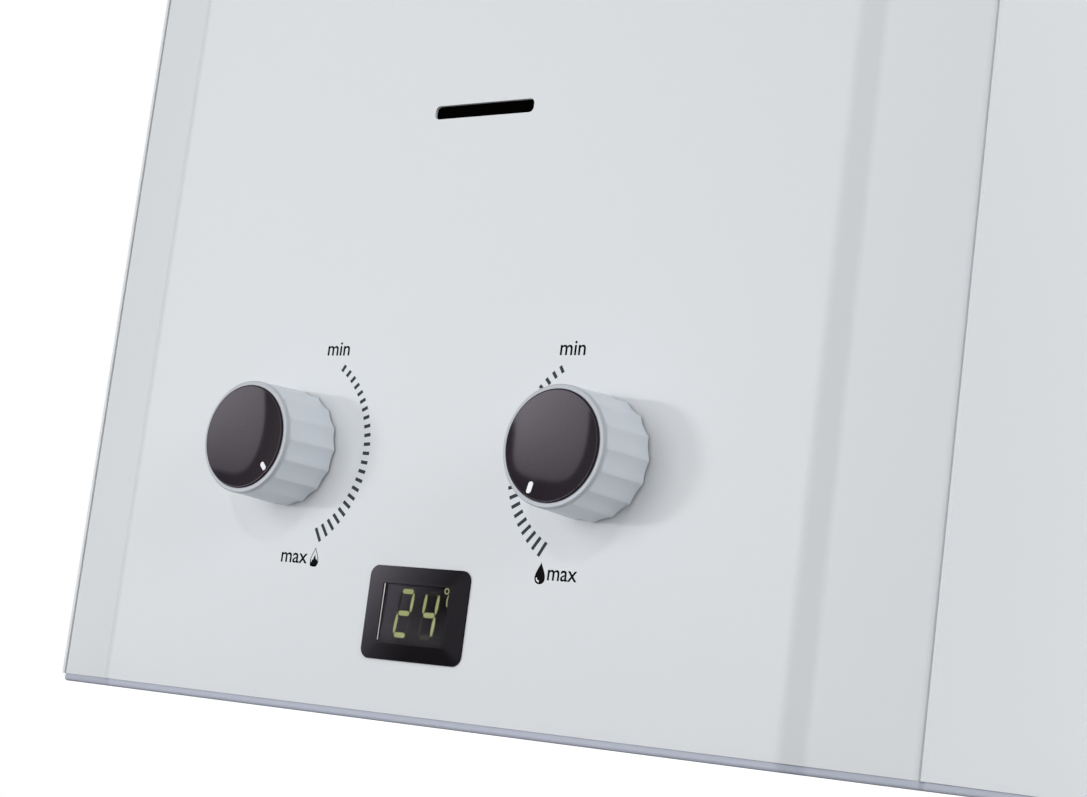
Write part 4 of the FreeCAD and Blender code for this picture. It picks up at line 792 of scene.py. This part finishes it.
def bar_outline(bar, grow):
    """Rounded bar between two points, drawn in at its ends by its taper and let out all round."""
    x0, z0, x1, z1, width, taper = bar
    start, end = Vector((x0, z0)), Vector((x1, z1))
    along = (end - start).normalized()
    side = Vector((-along.y, along.x))
    half, tip, shoulder = width / 2 + grow, width / 2 * taper + grow, width * 1.3
    points = []
    for near, far, way in ((end, start, 1.0), (start, end, -1.0)):
        points += [near + way * (along * a + side * b) for a, b in arc(0.0, 0.0, tip, -90, 90, 6)]
        if taper < 1.0:
            points += [near - way * (along * shoulder - side * half),
                       far + way * (along * shoulder + side * half)]
    return [(p.x, p.y) for p in points]


class HEATER_OT_light_display(bpy.types.Operator):
    """Sets the lit and unlit segments behind the display's window."""
    bl_idname = "heater.light_display"
    bl_label = "Light display"

    def execute(self, context):
        show = context.scene.heater_display
        dress("bezel_black", "display_frame")
        dress("tinted_window", "display_window")
        dress("display_back", "display_board")
        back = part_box("display_board")[0].y
        lift, first, thickness = 0.2 * MM, -4.45 * MM, 0.008 * MM
        middle = (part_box("display_frame")[0].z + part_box("display_frame")[1].z) / 2 + lift
        lit, ghost = [], []
        for place, on in enumerate(("abged", "fgbc")):
            for key, bar in self.segments(show, first + place * show.digit_pitch, middle).items():
                (lit if key in on else ghost).append(bar)
        # name, finish, bars, growth and height over the board, in mm
        for name, material, bars, grow, rise in (
                ("segments_ghost", "segment_ghost", ghost, 0.0, 0.02),
                ("segments_halo", "segment_halo", lit, 0.28, 0.01),
                ("segments_lit", "segment_lit", lit, 0.0, 0.03)):
            outlines = [bar_outline(bar, grow * MM) for bar in bars]
            front = back - rise * MM
            piece(name, slab_mesh(name, outlines, front, front + thickness), material, "casing")
        self.draw_sign(middle)
        self.paint_window_highlight()
        return {"FINISHED"}

    def segments(self, show, x, middle):
        """Seven bars of one leaning digit with its middle at x."""
        half, wide, lean = show.digit_height / 2, show.digit_width, show.slant
        level_gap, upright_gap = 1.0 * MM, 0.75 * MM
        round_end, tapered_end = 1.0, 0.6
        bars = {}
        for key, level in (("a", half), ("g", 0.0), ("d", -half)):
            left = x - wide / 2 + lean * level + level_gap
            bars[key] = (left, middle + level, left + wide - 2 * level_gap, middle + level,
                         show.level_width, round_end)
        for key, side, low, high in (("f", -1, 0.0, half), ("b", 1, 0.0, half), ("e", -1, -half, 0.0),
                                     ("c", 1, -half, 0.0)):
            low, high = low + upright_gap, high - upright_gap
            upright = x + side * wide / 2
            bars[key] = (upright + lean * low, middle + low, upright + lean * high, middle + high,
                         show.upright_width, tapered_end)
        return bars

    def draw_sign(self, middle):
        """Degree ring and the visible part of the letter beside it, printed on the window."""
        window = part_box("display_window")[0].y
        x, z, last, steps = 11.6 * MM, middle + 7.4 * MM, 345, 23
        rings = [arc(x, z, radius * MM, 0, last, steps) for radius in (0.98, 0.55)]
        # stroke of the letter: x, height over the middle and half its width, in mm
        stroke = ((12.85, 6.95, 0.16), (12.45, 6.15, 0.20), (12.15, 5.30, 0.23), (12.05, 4.40, 0.24),
                  (12.12, 3.60, 0.23), (12.30, 2.95, 0.20), (12.62, 2.80, 0.14))
        left = [((a - half) * MM, middle + b * MM) for a, b, half in stroke]
        right = [((a + half) * MM, middle + b * MM) for a, b, half in stroke]
        bowl = [list(quad) for quad in zip(left, left[1:], right[1:], right)]
        mesh = outward(slab_mesh("degree_sign", ring_slabs(*rings) + bowl, window - 0.02 * MM, window))
        piece("degree_sign", mesh, "sign_lit", "casing")

    def paint_window_highlight(self):
        """White strip along the left side of the frame's opening: a painted highlight."""
        low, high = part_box("display_window")
        left, foot, head = low.x + 1.0 * MM, low.z + 1.4 * MM, high.z - 1.1 * MM
        width, lean = 0.28 * MM, 0.16 * MM
        edge = [(left, foot), (left + width, foot), (left + width + lean, head), (left + lean, head)]
        mesh = slab_mesh("window_painted_highlight", [edge], low.y - 0.02 * MM, low.y + 0.01 * MM)
        piece("window_painted_highlight", mesh, "painted_highlight_white", "casing")


def screw_mesh(screw, outward_axis):
    """Pan head with a cross recess on a threaded shank, seated at the origin, head out along an axis."""
    radius, height, shank, steps = screw.head_radius, screw.head_height, screw.shank_radius, 48
    # shares of the shank's radius, then of the head's radius and height
    tip, root, neck = 0.45, 0.80, 0.9
    dome = ((1.0, 0.0), (1.0, 0.35), (0.94, 0.66), (0.80, 0.88), (0.60, 0.97), (0.50, 1.0))
    core, arm, slimness, narrowing, floor = 0.13, 0.33, 10, 0.72, 0.42
    pitch = screw.length / (screw.turns + 1)
    turns = [FULL_TURN * i / steps for i in range(steps)]
    profile = [(shank * tip, -screw.length)]
    for i in range(screw.turns):
        profile += [(shank * root, -screw.length + pitch * (i + 0.5)), (shank, -screw.length + pitch * (i + 1))]
    profile.append((shank * neck, 0.0))
    profile += [(radius * r, height * z) for r, z in dome]
    cross = [radius * (core + arm * abs(math.cos(2 * turn)) ** slimness) for turn in turns]
    rings = [[(r, z)] * steps for r, z in profile]
    rings += [[(c, height) for c in cross], [(c * narrowing, height * floor) for c in cross]]
    verts = [(r * math.cos(turn), r * math.sin(turn), z) for ring in rings for turn, (r, z) in zip(turns, ring)]
    faces = strip_faces(len(rings), steps, closed=True)
    faces.append([(len(rings) - 1) * steps + i for i in range(steps)])
    faces.append(list(reversed(range(steps))))
    mesh = plain_mesh("screw_seed", verts, faces)
    mesh.transform(Vector(outward_axis).to_track_quat("Z", "Y").to_matrix().to_4x4())
    return outward(mesh)


def joined(name, meshes):
    """One mesh of several."""
    edit = bmesh.new()
    for mesh in meshes:
        edit.from_mesh(mesh)
    whole = bpy.data.meshes.new(name)
    edit.to_mesh(whole)
    edit.free()
    return whole


class HEATER_OT_set_screws(bpy.types.Operator):
    """Sets cross-recess screws in the back plate, the lid and the handle's ears."""
    bl_idname = "heater.set_screws"
    bl_label = "Set screws"

    def execute(self, context):
        screw = context.scene.heater_screw
        tree = rack_tree("plated_screw")
        r = screw.head_radius

        def rack(name, seed, first, wide, rows=1, tall=0.0):
            """Screws from a first place, over a width and a height."""
            return grown(name, seed, tree, {
                "Columns": 2, "Rows": rows, "First": Vector(first), "Across": Vector((wide, 0.0, 0.0)),
                "Up": Vector((0.0, 0.0, tall / max(rows - 1, 1)))})

        low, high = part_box("back_screws")
        back = rack("back_screws_cross", screw_mesh(screw, (0, 1, 0)),
                    (low.x + r, high.y - screw.head_height, low.z + r), high.x - low.x - 2 * r,
                    screw.rows, high.z - low.z - 2 * r)
        low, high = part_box("top_screws")
        seed = screw_mesh(screw, (0, 0, 1))
        left, right = knob_centre("gas").x, knob_centre("water").x
        lid = rack("lid_screws", seed, (left, low.y + r, low.z + screw.length), right - left)
        ears = rack("ear_screws", seed, (low.x + r, high.y - r, high.z - screw.head_height),
                    high.x - low.x - 2 * r)
        for node, mesh in (("back_screws", back), ("top_screws", joined("top_screws_cross", (lid, ears)))):
            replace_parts(piece(node + "_cross", mesh, "plated_screw", "casing"), node)
        return {"FINISHED"}


class HEATER_OT_turn_knobs(bpy.types.Operator):
    """Makes the fluted bodies of the two knobs."""
    bl_idname = "heater.turn_knobs"
    bl_label = "Turn knobs"

    def execute(self, context):
        knob = context.scene.heater_knob
        tree = wheel_tree("knob_lacquer")
        for side in ("gas", "water"):
            node = side + "_knob_body"
            centre = knob_centre(side)
            mesh = grown(node + "_fluted", self.sector(knob, node, centre), tree, {
                "Sectors": knob.flutes, "Centre": Vector((centre.x, 0.0, centre.z)), "Weld": 2e-6})
            outward(mesh).shade_smooth()
            mesh.set_sharp_from_angle(angle=math.radians(40))
            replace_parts(piece(node + "_fluted", mesh, "knob_lacquer", side + "_knob"), node)
        return {"FINISHED"}

    def profile(self, knob, low, high, reach, seat_radius, seat):
        """Rows of radius, place along the axis and depth of flute, from the seat round to the bore."""
        rounding_steps, run_in_steps, side_steps = 6, 5, 12
        flare = (reach - knob.front_radius) / (high - low)
        start = low + knob.rim
        floor = seat + knob.wall
        inner = seat_radius - knob.wall / 2
        rows = [(0.0, seat, 0.0), (seat_radius, seat, 0.0), (seat_radius, low, 0.0)]
        for i in range(rounding_steps + 1):
            turn = math.pi / 2 * i / rounding_steps
            rows.append((knob.front_radius - knob.rounding * (1 - math.sin(turn)),
                         low + knob.rounding * (1 - math.cos(turn)), 0.0))
        for i in range(run_in_steps + 1):
            share = i / run_in_steps
            y = start + knob.run_in * share
            rows.append((knob.front_radius + flare * (y - low), y, 1 - (1 - share) ** 2))
        after = start + knob.run_in
        for i in range(1, side_steps + 1):
            y = after + (high - after) * i / side_steps
            rows.append((knob.front_radius + flare * (y - low), y, 1.0))
        rows += [(inner, high, 0.0), (inner, floor, 0.0), (knob.hub, floor, 0.0), (knob.hub, high, 0.0),
                 (knob.bore, high, 0.0), (knob.bore, floor, 0.0), (0.0, floor, 0.0)]
        return rows

    def sector(self, knob, node, centre):
        """One sector, from the bottom of a flute over a ridge to the bottom of the next."""
        flute_steps, crest_steps = 9, 4
        low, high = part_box(node)
        cap_low, cap_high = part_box(node.replace("body", "cap"))
        reach = high.x - centre.x
        rows = self.profile(knob, low.y, high.y, reach, (cap_high.x - cap_low.x) / 2, cap_high.y)
        half = math.pi / knob.flutes
        crest = knob.ridge / (2 * reach)
        turns = [-half + (half - crest) * i / flute_steps for i in range(flute_steps)]
        turns += [crest * (i / crest_steps - 1) for i in range(crest_steps + 1)]
        turns += [-turn for turn in reversed(turns[:flute_steps])]
        verts = []
        for radius, y, share in rows:
            for turn in turns:
                off = abs(turn)
                if off < crest:
                    drop = knob.rise * (off / crest) ** 2
                else:
                    deep = 1 - ((half - off) / (half - crest)) ** 2
                    drop = knob.rise + (knob.depth - knob.rise) * deep
                r = radius - drop * share
                verts.append((r * math.cos(turn), y, r * math.sin(turn)))
        return plain_mesh(node + "_sector", verts, strip_faces(len(rows), len(turns)))


class HEATER_OT_rib_grip(bpy.types.Operator):
    """Makes the ribbed rubber grip of the handle."""
    bl_idname = "heater.rib_grip"
    bl_label = "Rib grip"

    def execute(self, context):
        grip = context.scene.heater_grip
        low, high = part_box("handle_grip")
        middle = (low + high) / 2
        mesh = grown("handle_grip_ribbed", bpy.data.meshes.new("grip_seed"), sleeve_tree("grip_rubber"), {
            "Ribs": grip.ribs, "Rings": 12, "Start": Vector((low.x, middle.y, middle.z)),
            "End": Vector((high.x, middle.y, middle.z)), "Radius": (high.z - low.z) / 2,
            "Depth": grip.rib_depth, "Shoulder": 1.6 / grip.ribs, "End Share": 0.012, "End Drop": 1.2 * MM})
        obj = piece("handle_grip_ribbed", mesh, None, "handle")
        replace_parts(obj, "handle_grip")
        return {"FINISHED"}


class HEATER_OT_set_stage(bpy.types.Operator):
    """Lays the floor and sets the camera and the lights."""
    bl_idname = "heater.set_stage"
    bl_label = "Set stage"

    def execute(self, context):
        view = context.scene.heater_view
        self.lay_floor()
        self.set_camera(context.scene, view)
        self.set_surroundings(context.scene, view)
        self.set_lights(view)
        context.scene.view_settings.view_transform = "Standard"
        return {"FINISHED"}

    def lay_floor(self):
        """Round pale table top."""
        edit = bmesh.new()
        bmesh.ops.create_circle(edit, cap_ends=True, radius=0.26, segments=160)
        mesh = bpy.data.meshes.new("floor")
        edit.to_mesh(mesh)
        edit.free()
        floor = placed("floor", mesh)
        mesh.materials.append(FINISHES["floor_card"])

    def set_camera(self, scene, view):
        """Camera turned by heading, pitch and roll about its own place."""
        ahead = Vector((-math.sin(view.heading) * math.cos(view.pitch),
                        math.cos(view.heading) * math.cos(view.pitch), math.sin(view.pitch)))
        right = Vector((math.cos(view.heading), math.sin(view.heading), 0.0))
        up = right.cross(ahead)
        leaned = right * math.cos(view.roll) + up * math.sin(view.roll)
        raised = up * math.cos(view.roll) - right * math.sin(view.roll)
        data = bpy.data.cameras.new("camera")
        data.sensor_width = 36.0
        data.sensor_fit = "HORIZONTAL"
        data.lens = view.lens
        data.clip_start = 0.01
        data.clip_end = 50.0
        turn = Matrix((leaned, raised, -ahead)).transposed().to_4x4()
        scene.camera = placed("camera", data)
        scene.camera.matrix_world = Matrix.Translation(view.place) @ turn

    def set_surroundings(self, scene, view):
        """Even surroundings, white to the eye."""
        scene.world = bpy.data.worlds.new("studio")
        scene.world.use_nodes = True
        wires = Wiring(scene.world.node_tree)
        path = wires.add("ShaderNodeLightPath")
        strength = wires.add("ShaderNodeMix", {0: path.outputs["Is Camera Ray"], 2: view.ambient, 3: 1.0})
        wires.fill(wires.nodes["Background"], {"Color": (1.0, 1.0, 1.0, 1.0), "Strength": strength.outputs[0]})

    def lamp(self, name, place, target, power, size, size_y=None):
        """Area light that looks at a target; round where it has one size."""
        data = bpy.data.lights.new(name, "AREA")
        data.energy = power
        data.shape = "RECTANGLE" if size_y else "DISK"
        data.size = size
        if size_y:
            data.size_y = size_y
        light = placed(name, data)
        light.rotation_mode = "QUATERNION"
        light.location = place
        light.rotation_quaternion = (Vector(target) - Vector(place)).to_track_quat("-Z", "Y")
        return light

    def set_lights(self, view):
        """Low key light on the left, soft ones in front, at the right and behind, and one for the gloss."""
        target = Vector((0.0, FRONT_Y, 0.08))
        flank_target, back_target = (0.16, 0.0, 0.12), (0.0, 0.08, 0.27)
        # name, place, target, power and size of the lights that make no reflections
        matt = (
            ("key_light", target + Vector((-3.03, -3.72, 0.12)), target, view.key, 0.90, 0.12),
            ("front_light", (-0.14, -0.85, 0.18), target, view.front, 0.40, 0.40),
            ("fill_light", target + Vector((0.44, -1.53, 0.85)), target, view.fill, 0.14),
            ("flank_light", (1.30, 0.95, 0.35), flank_target, view.flank, 0.6, 0.6),
            ("edge_light", target + Vector((1.50, -0.37, 0.67)), target, view.edge, 0.8))
        for setting in matt:
            self.lamp(*setting).visible_glossy = False
        self.lamp("back_light", (-0.75, 1.35, 0.75), back_target, view.back, 0.9)
        azimuth, lift, reach = math.radians(34.0), math.radians(-5.0), 1.6
        sheen = target + reach * Vector((-math.sin(azimuth) * math.cos(lift),
                                         -math.cos(azimuth) * math.cos(lift), math.sin(lift)))
        gloss = self.lamp("sheen_light", sheen, target, view.sheen, 1.44, 1.62)
        gloss.visible_diffuse = False
        gloss.data.color = (0.99, 0.94, 1.04)
        self.shape_sheen(gloss.data)

    def shape_sheen(self, data):
        """Rounds the corners of a rectangular light and lets it fall off across and upwards."""
        corner, outer, inner = 4.2, 1.02, 0.78
        data.use_nodes = True
        wires = Wiring(data.node_tree)
        calc = wires.math
        place = wires.add("ShaderNodeNewGeometry").outputs["Parametric"]
        split = wires.add("ShaderNodeSeparateXYZ", {0: place}).outputs
        reach, total = 0.0, 1.0
        for axis, gain in ((0, 1.5), (1, -0.75)):
            far = calc("MULTIPLY", calc("ABSOLUTE", calc("SUBTRACT", split[axis], 0.5)), 2.0)
            reach = calc("ADD", reach, calc("POWER", far, corner))
            slope = calc("ADD", calc("MULTIPLY", split[axis], gain), 1.0)
            total = calc("MULTIPLY", total, slope)
        edge = wires.add("ShaderNodeMapRange", {"Value": reach, "From Min": outer, "From Max": inner},
                         interpolation_type="SMOOTHSTEP")
        wires.fill(wires.nodes["Emission"], {"Strength": calc("MULTIPLY", total, edge.outputs["Result"])})


class HEATER_PT_panel(bpy.types.Panel):
    """Lists the heater's settings and operators."""
    bl_label = "Gas water heater"
    bl_idname = "HEATER_PT_panel"
    bl_space_type = "VIEW_3D"
    bl_region_type = "UI"
    bl_category = "Heater"

    def draw(self, context):
        for group in GROUP_NAMES:
            box = self.layout.box()
            settings = getattr(context.scene, group)
            for key in settings.__annotations__:
                box.prop(settings, key)
        for operator in OPERATORS:
            self.layout.operator(operator.bl_idname)


OPERATORS = (
    HEATER_OT_mix_finishes, HEATER_OT_finish_case, HEATER_OT_finish_works, HEATER_OT_finish_knobs,
    HEATER_OT_print_scales, HEATER_OT_light_display, HEATER_OT_set_screws, HEATER_OT_turn_knobs,
    HEATER_OT_rib_grip, HEATER_OT_set_stage)
GROUP_NAMES = {
    "heater_finish": HeaterFinish, "heater_scale": HeaterScale, "heater_display": HeaterDisplay,
    "heater_screw": HeaterScrew, "heater_knob": HeaterKnob, "heater_grip": HeaterGrip,
    "heater_view": HeaterView}
CLASSES = (*GROUP_NAMES.values(), *OPERATORS, HEATER_PT_panel)


def register():
    """Registers the classes and the scene's settings."""
    for cls in CLASSES:
        bpy.utils.register_class(cls)
    for name, cls in GROUP_NAMES.items():
        setattr(bpy.types.Scene, name, PointerProperty(type=cls))


def unregister():
    """Takes the settings and the classes out again."""
    for name in GROUP_NAMES:
        delattr(bpy.types.Scene, name)
    for cls in reversed(CLASSES):
        bpy.utils.unregister_class(cls)


def main():
    """Dresses the heater."""
    register()
    for operator in OPERATORS:
        area, call = operator.bl_idname.split(".")
        getattr(getattr(bpy.ops, area), call)()


if __name__ == "__main__":
    main()
